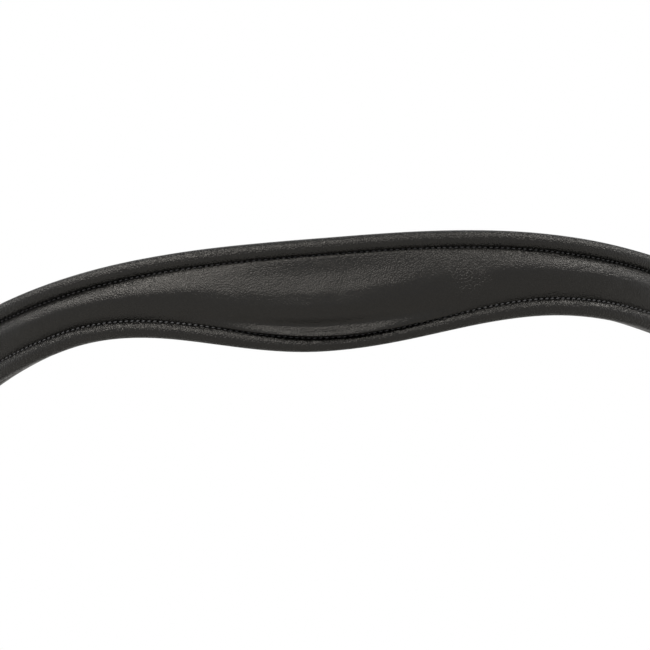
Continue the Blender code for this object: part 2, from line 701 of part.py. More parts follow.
def hook_stud(name, strap, place, level):
    """A turned stud through both layers of leather, domed outside, hooked inside."""
    outer_face = STRAP_LEATHER / 2 + GAP
    inner_face = -BILLET_OFFSET - STRAP_LEATHER / 2 - GAP
    head = STUD_HEAD_HEIGHT
    profile = [(0, outer_face + head * 0.45), (STUD_HEAD * 0.6, outer_face + head * 0.35),
               (STUD_HEAD, outer_face), (STUD_SHANK, outer_face), (STUD_SHANK, inner_face),
               (STUD_SHANK, inner_face - head * 0.2), (STUD_HEAD, inner_face - head * 0.4),
               (STUD_HEAD, inner_face - head * 0.8), (STUD_HEAD * 0.6, inner_face - head),
               (0, inner_face - head)]
    mesh = bpy.data.meshes.new(name)
    edges = [(k, k + 1) for k in range(len(profile) - 1)]
    mesh.from_pydata([(r, 0, z) for r, z in profile], edges, [])
    obj = finish_object(name, mesh, STEEL, place)
    turn = obj.modifiers.new("Turned", "SCREW")
    turn.axis = "Z"
    turn.steps = STUD_SIDES
    turn.render_steps = STUD_SIDES
    turn.use_merge_vertices = True
    turn.merge_threshold = 0.00001
    turn.use_normal_calculate = True
    obj.matrix_local = (Matrix.Translation((0, 0, level))
                        @ Matrix.Rotation(math.pi / 2, 4, "Y"))
    hole = bmesh.new()
    spin = Matrix.Translation((-BILLET_OFFSET / 2, 0, level))
    bmesh.ops.create_cone(hole, cap_ends=True, segments=STUD_SIDES, radius1=HOLE_RADIUS,
                          radius2=HOLE_RADIUS, depth=4 * STRAP_LEATHER,
                          matrix=spin @ Matrix.Rotation(math.pi / 2, 4, "Y"))
    mesh = bpy.data.meshes.new("stud_hole")
    hole.to_mesh(mesh)
    hole.free()
    cut(strap, cutter(name + "_hole", mesh, place))


def hanger_path():
    """Middle of a noseband hanger in (X, Z) from the crown down to its loop's inner end."""
    level = crown_station(0, 0)[0].z
    x_top = CROWN_HALF_SPAN - CROWN_LEATHER / 2 - GAP - STRAP_LEATHER / 2
    leg = BAND_LEATHER / 2 + GAP * 1.5 + STRAP_LEATHER / 2
    x_low = NOSE_HALF_SPAN + leg
    low = NOSE_LEVEL - NOSE_WIDTH / 2 - HANGER_SLACK
    path = [(x_top, level - HANGER_TOP_DROP), (x_top, level - HANGER_BEND_DROP),
            (x_low, NOSE_LEVEL + NOSE_WIDTH / 2 + HANGER_FOLD), (x_low, low)]
    for k in range(1, 7):
        turn = -math.radians(30 * k)
        path.append((NOSE_HALF_SPAN + leg * math.cos(turn), low + leg * math.sin(turn)))
    path.append((NOSE_HALF_SPAN - leg, NOSE_LEVEL + NOSE_WIDTH / 2 - HANGER_TAIL))
    return path


def hangers():
    """The strap that carries the noseband: plain on the right, buckled on the left."""
    path = hanger_path()
    rows = [(Vector((x, HANGER_Y - HANGER_WIDTH / 2, z)),
             Vector((x, HANGER_Y + HANGER_WIDTH / 2, z))) for x, z in path]
    strip("hanger_strap_right", rows, STRAP_LEATHER, LEATHER)
    bend, low = Vector((-path[1][0], 0, path[1][1])), Vector((-path[2][0], 0, path[2][1]))
    up = (bend - low).normalized()
    outward = up.cross(Y_AXIS).normalized()
    if outward.x > 0:
        outward = -outward
    level = crown_station(0, HANGER_BAR_DROP)[0].z
    on_line = low + up * ((level - low.z) / up.z)
    bar = on_line + Y_AXIS * HANGER_Y - outward * BILLET_OFFSET
    place = axis_empty("hanger_frame_left", frame_matrix(bar, outward, up))
    back = place.matrix_world.inverted()
    below = [back @ Vector((-x, HANGER_Y, z)) for x, z in path[2:]]
    buckled_strap("hanger_strap_left", place, HANGER_WIDTH,
                  [(0, -RUNNER_DROP), (0, -TIP_DROP - HANGER_WIDTH / 2)]
                  + [(p.x, p.z) for p in below])
    top = back @ Vector((-path[0][0], HANGER_Y, path[0][1]))
    fold = back @ Vector((-path[1][0], HANGER_Y, path[1][1]))
    rows = path_rows([(top.x, top.z), (fold.x, fold.z), (BILLET_OFFSET, BUCKLE_RISE),
                      (BILLET_OFFSET, -TIP_DROP + HANGER_WIDTH)], HANGER_WIDTH)
    billet("hanger_billet_left", place, HANGER_WIDTH, rows)
    buckle_set("hanger", "left", place, HANGER_WIDTH)


def throatlatch():
    """A loop under the throat that swings back from the crown's rear billets."""
    root_level = crown_station(0, CROWN_END_DROP)[0].z - GAP - THROAT_WIDTH / 2
    bar = (-(CROWN_HALF_SPAN - BILLET_OFFSET), THROAT_Y, root_level - THROAT_BAR_DROP)
    place = axis_empty("throatlatch_axis_left", frame_matrix(bar, (-1, 0, 0), (0, 0, 1)))
    top = round_end_rows(BILLET_OFFSET, THROAT_BAR_DROP, THROAT_WIDTH, 1)
    rows = top + path_rows([(BILLET_OFFSET, THROAT_BAR_DROP / 2),
                            (BILLET_OFFSET, -TIP_DROP + THROAT_WIDTH)], THROAT_WIDTH)
    billet("throatlatch_billet_left", place, THROAT_WIDTH, rows)

    span = CROWN_HALF_SPAN - BILLET_OFFSET
    left_drop = THROAT_STRAIGHT - THROAT_BAR_DROP
    fall = THROAT_DROP - THROAT_STRAIGHT
    middle_x = -BILLET_OFFSET / 2
    half = span + BILLET_OFFSET / 2
    below = [(0, -RUNNER_DROP)]
    for k in range(THROAT_STEPS + 1):
        turn = math.pi * k / THROAT_STEPS
        x = middle_x + half * power(math.cos(turn), THROAT_POWER)
        below.append((x - span, -left_drop - fall * math.sin(turn) ** THROAT_POWER))
    below.append((-span - CROWN_HALF_SPAN, THROAT_BAR_DROP - THROAT_WIDTH))
    end = round_end_rows(-span - CROWN_HALF_SPAN, THROAT_BAR_DROP, THROAT_WIDTH, 1)[::-1]
    buckled_strap("throatlatch_strap", place, THROAT_WIDTH, below, end)
    buckle_set("throatlatch", "left", place, THROAT_WIDTH)


def band_eye(side, centre_y, direction):
    """Plan points (X, Y) of a band's end turned round a dee's bar and back inside."""
    points = []
    for k in range(EYE_STEPS):
        turn = math.radians(EYE_STEP_TURN * k)
        points.append((side * (NOSE_HALF_SPAN - EYE_RADIUS + EYE_RADIUS * math.cos(turn)),
                       centre_y + direction * EYE_RADIUS * math.sin(turn)))
    inner = NOSE_HALF_SPAN - BAND_LEATHER - 2 * GAP
    eye_side = inner - BAND_LEATHER * 0.7
    points.append((side * eye_side, centre_y - direction * EYE_RADIUS * EYE_NECK))
    points.append((side * inner, centre_y - direction * EYE_RADIUS * EYE_END))
    points.append((side * inner, centre_y - direction * NOSE_TURN_IN))
    return points


def noseband():
    """The padded noseband, its dees, and the chin strap with its pad and buckle."""
    band = Band(NOSE_HALF_SPAN, NOSE_DEPTH, NOSE_PLAN_POWER, NOSE_LEVEL, NOSE_WIDTH,
                NOSE_CENTRE_DROP, NOSE_BULGE_HALF_LENGTH)
    band.pad("noseband", NOSE_PAD_END, BAND_STATIONS)
    rows = band.base_rows(NOSE_STRAP_END, BAND_STATIONS)
    front_bar = NOSE_DEE_Y - DEE_LENGTH / 2 + DEE_ROD / 2
    rear_bar = NOSE_DEE_Y + DEE_LENGTH / 2 - DEE_ROD / 2
    end_half = NOSE_WIDTH / 2 - NOSE_END_NARROWING
    tails = {}
    for side in (1, -1):
        tails[side] = [(Vector((x, y, NOSE_LEVEL - end_half)),
                        Vector((x, y, NOSE_LEVEL + end_half)))
                       for x, y in band_eye(side, front_bar, 1)]
    rows = tails[-1][::-1] + rows + tails[1]
    strip("noseband_strap", rows, BAND_LEATHER, LEATHER, edge=BAND_EDGE)

    dee_outer = rounded_outline(DEE_LENGTH, NOSE_WIDTH + 2 * DEE_ROD, DEE_CORNER)
    dee_inner = rounded_outline(DEE_LENGTH - 2 * DEE_ROD, NOSE_WIDTH, DEE_CORNER * 0.4)
    for side, label in ((1, "right"), (-1, "left")):
        at = (side * (NOSE_HALF_SPAN - EYE_RADIUS), NOSE_DEE_Y, NOSE_LEVEL)
        turn = (Matrix.Translation(at) @ Matrix.Rotation(math.pi / 2, 4, "Z")
                @ Matrix.Rotation(math.pi / 2, 4, "X"))
        plate("noseband_dee_" + label, (dee_outer, dee_inner), DEE_ROD, STEEL, turn=turn,
              edge=BAR_EDGE)
    chin(rear_bar)


def chin(rear_bar):
    """Right: the long chin strap. Left: the short strap that carries its buckle."""
    eye_x = NOSE_HALF_SPAN - EYE_RADIUS
    start = Vector((-eye_x, rear_bar, NOSE_LEVEL))
    corner = Vector((-CHIN_CORNER_X, CHIN_BACK_Y, NOSE_LEVEL))
    up = (corner - start).normalized()
    outward = Vector((-up.y, up.x, 0))
    dee_eye = start + outward * EYE_RADIUS
    back = CHIN_BACK_Y + CHIN_BACK_CLEAR
    line = dee_eye + outward * BILLET_OFFSET
    left_corner = corner_arc(line, up, back)
    bar_run = (left_corner[0] - line).length - CHIN_CORNER_CLEAR - BUCKLE_RISE
    bar = dee_eye + up * bar_run
    place = axis_empty("chin_frame_left", frame_matrix(bar, outward, up))
    low_eye = []
    for k in range(EYE_STEPS):
        turn = -math.radians(EYE_STEP_TURN * k)
        low_eye.append((-EYE_RADIUS + EYE_RADIUS * math.cos(turn),
                        -bar_run + EYE_RADIUS * math.sin(turn)))
    low_eye.append((-BILLET_OFFSET - STRAP_LEATHER * 0.55,
                    -bar_run + EYE_RADIUS * EYE_NECK))
    low_eye.append((-BILLET_OFFSET, -bar_run + EYE_RADIUS * EYE_END))
    low_eye.append((-BILLET_OFFSET, -bar_run + CHIN_SHORT_TAIL))
    buckled_strap("chin_strap_left", place, CHIN_WIDTH, low_eye)
    buckle_set("chin", "left", place, CHIN_WIDTH)

    matrix = place.matrix_world
    plan = [matrix @ Vector((BILLET_OFFSET, 0, BUCKLE_RISE))]
    plan += left_corner
    plan += [Vector((-p.x, p.y, p.z)) for p in left_corner[::-1]]
    near_dee = dee_eye + up * (CHIN_LONG_TAIL + GAP)
    plan.append(Vector((-near_dee.x, near_dee.y, NOSE_LEVEL)))
    flip = Vector((-up.x, up.y, 0))
    out_right = Vector((-outward.x, outward.y, 0))
    eye_centre = Vector((eye_x, rear_bar, NOSE_LEVEL))
    for k in range(EYE_STEPS):
        turn = math.radians(EYE_STEP_TURN * k)
        plan.append(eye_centre + out_right * EYE_RADIUS * math.cos(turn)
                    - flip * EYE_RADIUS * math.sin(turn))
    near = EYE_RADIUS - BILLET_OFFSET
    plan.append(eye_centre + out_right * (near - STRAP_LEATHER * 0.55)
                + flip * EYE_RADIUS * EYE_NECK)
    plan.append(eye_centre + out_right * near + flip * EYE_RADIUS * EYE_END)
    plan.append(eye_centre + out_right * near + flip * CHIN_LONG_TAIL)
    inverse = matrix.inverted()
    local = [inverse @ p for p in plan]
    rows = path_rows([(p.x, p.z) for p in reversed(local)], CHIN_WIDTH)
    rows += path_rows([(BILLET_OFFSET, -CHIN_TIP_DROP + CHIN_WIDTH * 0.8)], CHIN_WIDTH)
    billet("chin_strap", place, CHIN_WIDTH, rows, (-3, -2, 1, 2), CHIN_TIP_DROP)
    chin_pad(back - STRAP_LEATHER / 2 - GAP)


def corner_arc(first, up, back):
    """Plan points that turn from the slanted run onto the straight run under the chin."""
    slope = math.atan2(up.y, up.x)
    radius = CHIN_CORNER_RADIUS
    centre_y = back - radius
    normal = Vector((up.y, -up.x, 0))
    along = (centre_y - first.y - normal.y * radius) / up.y
    tangent = first + up * along
    centre = tangent + normal * radius
    points = []
    for k in range(5):
        turn = slope + math.pi / 2 - slope * k / 4
        points.append(centre + Vector((math.cos(turn), math.sin(turn), 0)) * radius)
    return points


def chin_pad(front):
    """A soft cushion between the chin strap and the jaw, from a coarse cage."""
    bm = bmesh.new()
    bmesh.ops.create_cube(bm, size=1)
    along = [e for e in bm.edges if e.verts[0].co.y * e.verts[1].co.y > 0]
    bmesh.ops.subdivide_edges(bm, edges=along, cuts=2, use_grid_fill=True)
    for v in bm.verts:
        on_rim = max(abs(v.co.x), abs(v.co.z)) > 0.45
        fullness = CHIN_PAD_RIM if on_rim and v.co.y < 0 else 1.0
        v.co = Vector((v.co.x * CHIN_PAD_LENGTH, v.co.y * CHIN_PAD_DEPTH * fullness,
                       v.co.z * CHIN_PAD_HEIGHT))
    mesh = bpy.data.meshes.new("chin_pad")
    bm.to_mesh(mesh)
    bm.free()
    pad = finish_object("chin_pad", mesh, SOFT_NAPPA)
    pad.location = (0, front - CHIN_PAD_DEPTH / 2, NOSE_LEVEL)
    soft = pad.modifiers.new("Soft", "SUBSURF")
    soft.levels = 1
    soft.render_levels = 1


def main():
    clear_scene()
    crown()
    browband()
    cheekpieces()
    hangers()
    throatlatch()
    noseband()


main()
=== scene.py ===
"""Dressage bridle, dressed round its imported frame.

Black bridle leather, soft nappa over foam and polished stainless steel, hung as worn.
Metres, +Z up, the front of the head towards -Y.
"""

import logging
import math
from dataclasses import dataclass
from enum import Enum
from typing import Callable, Optional, Sequence

import bpy
import numpy as np
from mathutils import Matrix, Vector, noise


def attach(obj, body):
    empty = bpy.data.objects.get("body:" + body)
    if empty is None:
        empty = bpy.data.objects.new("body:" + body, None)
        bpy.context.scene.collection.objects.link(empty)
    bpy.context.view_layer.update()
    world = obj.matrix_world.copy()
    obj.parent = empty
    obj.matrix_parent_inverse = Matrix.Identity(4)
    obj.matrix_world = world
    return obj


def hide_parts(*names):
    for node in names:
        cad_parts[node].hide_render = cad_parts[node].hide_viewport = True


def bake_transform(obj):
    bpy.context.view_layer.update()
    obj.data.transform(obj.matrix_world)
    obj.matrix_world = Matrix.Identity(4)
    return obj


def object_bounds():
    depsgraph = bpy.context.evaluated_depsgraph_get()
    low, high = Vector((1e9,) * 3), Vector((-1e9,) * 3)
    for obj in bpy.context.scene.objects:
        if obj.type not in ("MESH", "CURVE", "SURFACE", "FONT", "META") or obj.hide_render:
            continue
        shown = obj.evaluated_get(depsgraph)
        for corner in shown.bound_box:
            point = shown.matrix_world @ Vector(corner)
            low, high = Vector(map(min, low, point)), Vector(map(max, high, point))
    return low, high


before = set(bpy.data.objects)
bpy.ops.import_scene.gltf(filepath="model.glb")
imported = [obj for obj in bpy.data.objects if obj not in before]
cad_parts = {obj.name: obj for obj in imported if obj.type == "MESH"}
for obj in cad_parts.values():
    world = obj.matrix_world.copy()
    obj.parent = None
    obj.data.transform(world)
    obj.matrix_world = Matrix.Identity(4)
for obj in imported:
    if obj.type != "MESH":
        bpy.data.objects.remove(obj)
CAD_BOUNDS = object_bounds()

logging.basicConfig(level=logging.INFO, format="%(message)s")
log = logging.getLogger("bridle")

GAP = 0.0003              # between layers that lie on each other
LOOP_SLACK = 0.0006       # round the layers inside a keeper or an end loop
CROWN_LEATHER = 0.0035
BAND_LEATHER = 0.0025
STRAP_LEATHER = 0.0028
NAPPA = 0.0014
CROWN_FOAM = 0.006
BAR = 0.0028              # the rod of a buckle's frame
DEE_ROD = 0.0028
TONGUE = 0.0022
TONGUE_EYE = BAR * 0.625 + 0.0004
EYE_RADIUS = TONGUE_EYE + STRAP_LEATHER / 2
BILLET_OFFSET = STRAP_LEATHER + GAP
STRAP_EDGE = 0.0008       # radius of a dressed edge
BAND_EDGE = 0.0007
STRAP_INSET = 0.0009      # a band's strap lies hidden behind the rolls by this much
WELD = 0.000001
CUT_RIM = 0.00015         # how far from a cut its rim is looked for
FAR_MM = 6.0              # says that a rim is far from the strap's edges

CROWN_HALF_SPAN = 0.118
CROWN_FRONT, CROWN_REAR = -0.0225, 0.0273
CROWN_LEVEL = NAPPA + GAP + CROWN_FOAM + GAP + CROWN_LEATHER / 2
ARCH_FLAT, ARCH_SPAN, ARCH_DROP = 0.010, 0.108, 0.115
ROOT_DROP = 0.198         # from the poll down to where the billets begin
NOSE_LEVEL = -0.388
NOSE_HALF_SPAN = 0.078
DEE_Y, DEE_HALF = 0.033, 0.0075
FRONT_BAR = DEE_Y - DEE_HALF + DEE_ROD / 2
REAR_BAR = DEE_Y + DEE_HALF - DEE_ROD / 2

RAIL = 0.021              # heights are from a buckle's bar
TIP_DROP = 0.050
FIXED_KEEPER, SLIDING_KEEPER = -0.0145, -0.031
HOLE_LEVEL, HOLE_PITCH = 0.0062, 0.011
TONGUE_HOLE, HOLE = 0.0031, 0.0020
STRAP_STITCH = 0.0026

Row = tuple[Vector, Vector]
Spot = tuple[float, float]
SIDES = (("right", 1), ("left", -1))


@dataclass
class Graph:
    """A material's nodes, each made by one short call."""

    tree: bpy.types.NodeTree

    def feed(self, node: bpy.types.Node, inputs: dict) -> None:
        """Gives sockets their values, or the outputs that feed them."""
        for key, value in inputs.items():
            if isinstance(value, bpy.types.NodeSocket):
                self.tree.links.new(value, node.inputs[key])
            else:
                node.inputs[key].default_value = value

    def add(self, kind: str, inputs: dict, out: object = 0,
            **settings: object) -> bpy.types.NodeSocket:
        """Adds one node.

        Args:
            kind: the shader node's type.
            inputs: socket name or number to a value, or to the output that feeds it.
            out: name or number of the output asked for.
            **settings: the node's own properties.

        Returns:
            That output.
        """
        made = self.tree.nodes.new("ShaderNode" + kind)
        for key, value in settings.items():
            setattr(made, key, value)
        self.feed(made, inputs)
        return made.outputs[out]

    def ramp(self, factor: bpy.types.NodeSocket,
             *stops: tuple[float, str]) -> bpy.types.NodeSocket:
        """A colour ramp through hex colours at the given places."""
        colour = self.add("ValToRGB", {"Fac": factor}, "Color")
        elements = colour.node.color_ramp.elements
        while len(elements) < len(stops):
            elements.new(0.5)
        for element, (place, code) in zip(elements, stops):
            element.position = place
            element.color = linear(code)
        return colour

    def surface(self, inputs: dict) -> bpy.types.NodeSocket:
        """Sets the principled shader's sockets."""
        shader = self.tree.nodes["Principled BSDF"]
        self.feed(shader, inputs)
        return shader.outputs[0]


def linear(code: str) -> tuple[float, float, float, float]:
    """Turns six hex digits of sRGB into linear red, green, blue and an alpha of 1."""
    parts = [int(code[k:k + 2], 16) / 255 for k in (0, 2, 4)]
    return (*(p / 12.92 if p <= 0.04045 else ((p + 0.055) / 1.055) ** 2.4 for p in parts), 1)


def per_metre(millimetres: float) -> float:
    """The scale at which a texture's cell is this many millimetres across."""
    return 1000.0 / millimetres


class Finish:
    """A material that is made once and given to many pieces."""

    name: str
    made: dict[str, bpy.types.Material] = {}

    def material(self) -> bpy.types.Material:
        """The finish's material, made at its first use."""
        if self.name not in Finish.made:
            material = bpy.data.materials.new(self.name)
            material.use_nodes = True
            self.paint(Graph(material.node_tree))
            Finish.made[self.name] = material
        return Finish.made[self.name]


@dataclass(frozen=True)
class Grained(Finish):
    """Dyed leather with a pebbled grain.

    The grain breaks the gloss into small soft lights, and the valleys hold more dye.
    """

    name: str = "nappa_leather"
    valley: str = "080808"
    face: str = "0c0c0c"
    worn: str = "131211"
    pebble_mm: float = 0.46
    grain_depth: float = 0.000050
    roughness: tuple[float, float] = (0.24, 0.34)
    ior: float = 1.36
    crease: bool = False
    pucker: bool = False
    crease_mm: float = 1.7
    crease_depth: float = 0.0004

    def paint(self, graph: Graph) -> None:
        """Builds the grain, the colour and the gloss."""
        add = graph.add
        place = add("TexCoord", {}, "Object")
        warp = add("TexNoise", {"Vector": place, "Scale": per_metre(2.4), "Detail": 2.0},
                   "Color")
        shift = add("VectorMath", {0: warp, 1: (0.5,) * 3}, operation="SUBTRACT")
        moved = add("VectorMath", {0: shift, 1: (0.0007,) * 3}, operation="MULTIPLY")
        spot = add("VectorMath", {0: place, 1: moved}, operation="ADD")
        cells = add("TexVoronoi", {"Vector": spot, "Scale": per_metre(self.pebble_mm),
                                   "Smoothness": 0.35}, "Distance", feature="SMOOTH_F1")
        fine = add("TexNoise", {"Vector": place, "Scale": per_metre(0.30), "Detail": 3.0},
                   "Fac")
        broad = add("TexNoise", {"Vector": place, "Scale": per_metre(14), "Detail": 4.0,
                                 "Roughness": 0.6}, "Fac")
        top = add("MapRange", {"Value": cells, "From Min": 0.15, "From Max": 0.75,
                               "To Min": 1.0, "To Max": 0.0})
        height = add("Math", {0: fine, 1: 0.35, 2: top}, operation="MULTIPLY_ADD")
        blend = add("Math", {0: broad, 1: 0.55}, operation="MULTIPLY")
        tone = add("Math", {0: top, 1: 0.45, 2: blend}, operation="MULTIPLY_ADD")
        gloss = add("MapRange", {"Value": broad, "To Min": self.roughness[0],
                                 "To Max": self.roughness[1]})
        normal = add("Bump", {"Height": height, "Strength": 1.0,
                              "Distance": self.grain_depth})
        if self.crease:
            edge = add("Attribute", {}, "Fac", attribute_name="edge_mm")
            off = add("Math", {0: edge, 1: self.crease_mm}, operation="SUBTRACT")
            away = add("Math", {0: off}, operation="ABSOLUTE")
            line = add("MapRange", {"Value": away, "From Min": 0.0, "From Max": 0.45},
                       interpolation_type="SMOOTHSTEP")
            normal = add("Bump", {"Height": line, "Normal": normal, "Strength": 1.0,
                                  "Distance": self.crease_depth})
        if self.pucker:
            normal = self.wrinkles(graph, spot, normal)
        graph.surface({
            "Base Color": graph.ramp(tone, (0.10, self.valley), (0.45, self.face),
                                     (0.85, self.worn)),
            "Roughness": gloss, "Normal": normal, "IOR": self.ior,
            "Specular Tint": linear("fffbf5")})

    def wrinkles(self, graph: Graph, spot: bpy.types.NodeSocket,
                 normal: bpy.types.NodeSocket) -> bpy.types.NodeSocket:
        """Loose puckers and fine cross wrinkles, where the piece asks for them."""
        add = graph.add
        crack = add("TexVoronoi", {"Vector": spot, "Scale": per_metre(1.15)}, "Distance",
                    feature="DISTANCE_TO_EDGE")
        opened = add("MapRange", {"Value": crack, "From Max": 0.22},
                     interpolation_type="SMOOTHSTEP")
        asked = add("Attribute", {}, "Fac", attribute_name="pucker")
        held = add("Math", {0: asked, 1: 0.00013}, operation="MULTIPLY")
        puckered = add("Bump", {"Height": opened, "Distance": held, "Normal": normal,
                                "Strength": 1.0})
        long = add("VectorMath", {0: add("TexCoord", {}, "UV"),
                                  1: (per_metre(6.0), per_metre(1.0), 1.0)},
                   operation="MULTIPLY")
        fold = add("TexNoise", {"Vector": long, "Scale": 1.0, "Detail": 2.0}, "Fac")
        across = add("Attribute", {}, "Fac", attribute_name="cross")
        depth = add("Math", {0: across, 1: 0.00025}, operation="MULTIPLY")
        return add("Bump", {"Height": fold, "Distance": depth, "Normal": puckered,
                            "Strength": 1.0})


@dataclass(frozen=True)
class Thread(Finish):
    """Waxed polyester thread, two plies twisted, with a dull shine."""

    name: str = "waxed_thread"

    def paint(self, graph: Graph) -> None:
        """Sets a dark fibre colour with a fine twist."""
        twist = graph.add("TexNoise", {"Vector": graph.add("TexCoord", {}, "Object"),
                                       "Scale": per_metre(0.3)}, "Fac")
        graph.surface({"Base Color": graph.ramp(twist, (0.3, "232325"), (0.7, "4a4a4c")),
                       "Roughness": 0.5})


@dataclass(frozen=True)
class Steel(Finish):
    """Stainless steel, cast and polished, with faint handling marks."""

    name: str = "polished_stainless_steel"

    def paint(self, graph: Graph) -> None:
        """Sets a bright metal with a slightly uneven polish."""
        marks = graph.add("TexNoise", {"Vector": graph.add("TexCoord", {}, "Object"),
                                       "Scale": per_metre(1.8), "Detail": 5.0}, "Fac")
        polish = graph.add("MapRange", {"Value": marks, "To Min": 0.10, "To Max": 0.26})
        graph.surface({"Base Color": graph.ramp(marks, (0.3, "b9b8b5"), (0.7, "cfceca")),
                       "Roughness": polish, "Metallic": 1.0})


NAPPA_SKIN = Grained(pebble_mm=0.55, grain_depth=0.00012)
NAPPA_COVER = Grained("nappa_cover", grain_depth=0.00007, pucker=True)
SOFT_LINING = Grained("lining_nappa", "0e0e0f", "181818", "211f1e", 0.7, 0.00004,
                      (0.5, 0.68))
BRIDLE_LEATHER = Grained("bridle_leather", "0c0b0b", "141312", "1f1d1a", 0.42, 0.00002,
                         (0.26, 0.38), 1.42, True)
THREAD = Thread()
STEEL = Steel()


class Slot(Enum):
    """The record's material slots."""

    LEATHER = "bridle_leather"
    NAPPA = "nappa"
    STEEL = "stainless_steel"


@dataclass(frozen=True)
class Fold:
    """Where a strap runs from the body that holds its start to its own at its end; the strap
    is not bent to follow them.
    """

    held_by: str
    start: Vector
    end: Vector


def activate(piece: bpy.types.Object) -> None:
    """Selects one piece alone."""
    bpy.ops.object.select_all(action="DESELECT")
    piece.select_set(True)
    bpy.context.view_layer.objects.active = piece


def primitive(operator: Callable[..., object], **settings: object) -> bpy.types.Object:
    """Adds a primitive, alone in the selection."""
    bpy.ops.object.select_all(action="DESELECT")
    operator(**settings)
    return bpy.context.object


def edit(piece: bpy.types.Object, *steps: Callable[[], object]) -> None:
    """Runs steps in edit mode, with everything selected at the start."""
    activate(piece)
    bpy.ops.object.mode_set(mode="EDIT")
    bpy.ops.mesh.select_all(action="SELECT")
    for step in steps:
        step()
    bpy.ops.object.mode_set(mode="OBJECT")


def weld() -> None:
    """Joins selected vertices that lie on each other."""
    bpy.ops.mesh.remove_doubles(threshold=WELD)


def select_rims() -> None:
    """Selects the open edges alone."""
    bpy.ops.mesh.select_all(action="DESELECT")
    bpy.ops.mesh.select_mode(type="EDGE")
    bpy.ops.mesh.select_non_manifold()


def face_outward() -> None:
    """Turns every face outward."""
    bpy.ops.mesh.select_all(action="SELECT")
    bpy.ops.mesh.normals_make_consistent(inside=False)


def shape(piece: bpy.types.Object, kind: str, **settings: object) -> None:
    """Adds a modifier with its settings and applies it."""
    activate(piece)
    bpy.ops.object.modifier_add(type=kind)
    step = piece.modifiers[-1]
    for key, value in settings.items():
        setattr(step, key, value)
    bpy.ops.object.modifier_apply(modifier=step.name)


def smooth(piece: bpy.types.Object, degrees: float = 40) -> None:
    """Smooth shading, with creases sharper than the angle left sharp."""
    activate(piece)
    bpy.ops.object.shade_smooth_by_angle(angle=math.radians(degrees))


def round_edges(piece: bpy.types.Object, radius: float) -> None:
    """Rounds the edges that are sharper than 50 degrees."""
    shape(piece, "BEVEL", width=radius, segments=3, limit_method="ANGLE",
          angle_limit=math.radians(50))


def thicken(piece: bpy.types.Object, thickness: float, edge: float,
            degrees: float = 40) -> None:
    """Gives a sheet its thickness, rounded edges and smooth shading."""
    shape(piece, "SOLIDIFY", thickness=thickness, offset=0, use_even_offset=True)
    round_edges(piece, edge)
    smooth(piece, degrees)


def cut(piece: bpy.types.Object, tool: bpy.types.Object, place: Matrix) -> None:
    """Takes a tool's volume, moved to its place, out of a piece."""
    tool.data.transform(place)
    shape(piece, "BOOLEAN", operation="DIFFERENCE", solver="EXACT", object=tool)
    bpy.data.objects.remove(tool, do_unlink=True)


def running_length(points: np.ndarray) -> np.ndarray:
    """The length run up to each point, along the last axis but one."""
    steps = np.linalg.norm(np.diff(points, axis=-2), axis=-1)
    return np.insert(np.cumsum(steps, axis=-1), 0, 0.0, axis=-1)


def note(mesh: bpy.types.Mesh, label: str, values: np.ndarray) -> None:
    """Keeps one number for each vertex, for a finish to read."""
    kept = mesh.attributes.new(label, "FLOAT", "POINT")
    kept.data.foreach_set("value", values.reshape(-1).astype(np.float32))


def grid_piece(name: str, rows: Sequence[Sequence[Vector]],
               closed: bool = False) -> bpy.types.Object:
    """Lays a grid through rows of points.

    Args:
        name: the piece's name.
        rows: points across, one list for each place along the piece.
        closed: whether each row is a ring, whose first point isn't repeated.

    Returns:
        The piece, with its lengths along and across in its UV map, in metres.
    """
    points = np.array([[tuple(p) for p in row] for row in rows])
    if closed:
        points = np.concatenate([points, points[:, :1]], axis=1)
    count, across = points.shape[:2]
    piece = primitive(bpy.ops.mesh.primitive_grid_add, x_subdivisions=across - 1,
                      y_subdivisions=count - 1, size=1)
    mesh = piece.data
    piece.name = mesh.name = name
    mesh.vertices.foreach_set("co", points.reshape(-1))
    along = running_length(points.mean(axis=1))
    side = running_length(points)
    plan = np.stack([np.tile(along[:, None], across), side], axis=2)
    index = np.empty(len(mesh.loops), dtype=np.int32)
    mesh.loops.foreach_get("vertex_index", index)
    mesh.uv_layers[0].data.foreach_set("uv", plan.reshape(-1, 2)[index].reshape(-1))
    note(mesh, "edge_mm", np.minimum(side, side[:, -1:] - side) * 1000)
    mesh.update()
    return piece


def tube(name: str, rings: Sequence[Sequence[Vector]], degrees: float) -> bpy.types.Object:
    """A closed skin through rings of points, welded along its seam and capped."""
    piece = grid_piece(name, rings, closed=True)
    edit(piece, weld, select_rims, lambda: bpy.ops.mesh.fill_holes(sides=0), face_outward)
    smooth(piece, degrees)
    return piece


def dress(piece: bpy.types.Object, body: str, finish: Finish, slot: Slot,
          *nodes: str, fold: Optional[Fold] = None) -> bpy.types.Object:
    """Gives a piece its finish, its body unless a fold is given, and the nodes that it stands
    for.

    Args:
        piece: the finished mesh.
        body: the body it moves with.
        finish: its finish.
        slot: the record's material slot; not used.
        *nodes: CAD nodes that it replaces.
        fold: where the leather would bend between another body and this one; with it, the
            piece's transform is baked and it is left on no body.

    Returns:
        The same piece.
    """
    if nodes:
        piece.name = nodes[0] + "_dressed"
    piece.data.materials.clear()
    piece.data.materials.append(finish.material())
    if fold:
        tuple(fold.start)
        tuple(fold.end)
        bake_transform(piece)
    else:
        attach(piece, body)
    if nodes:
        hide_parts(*nodes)
    log.info("%s rides on %s, %d faces", piece.name, body, len(piece.data.polygons))
    return piece


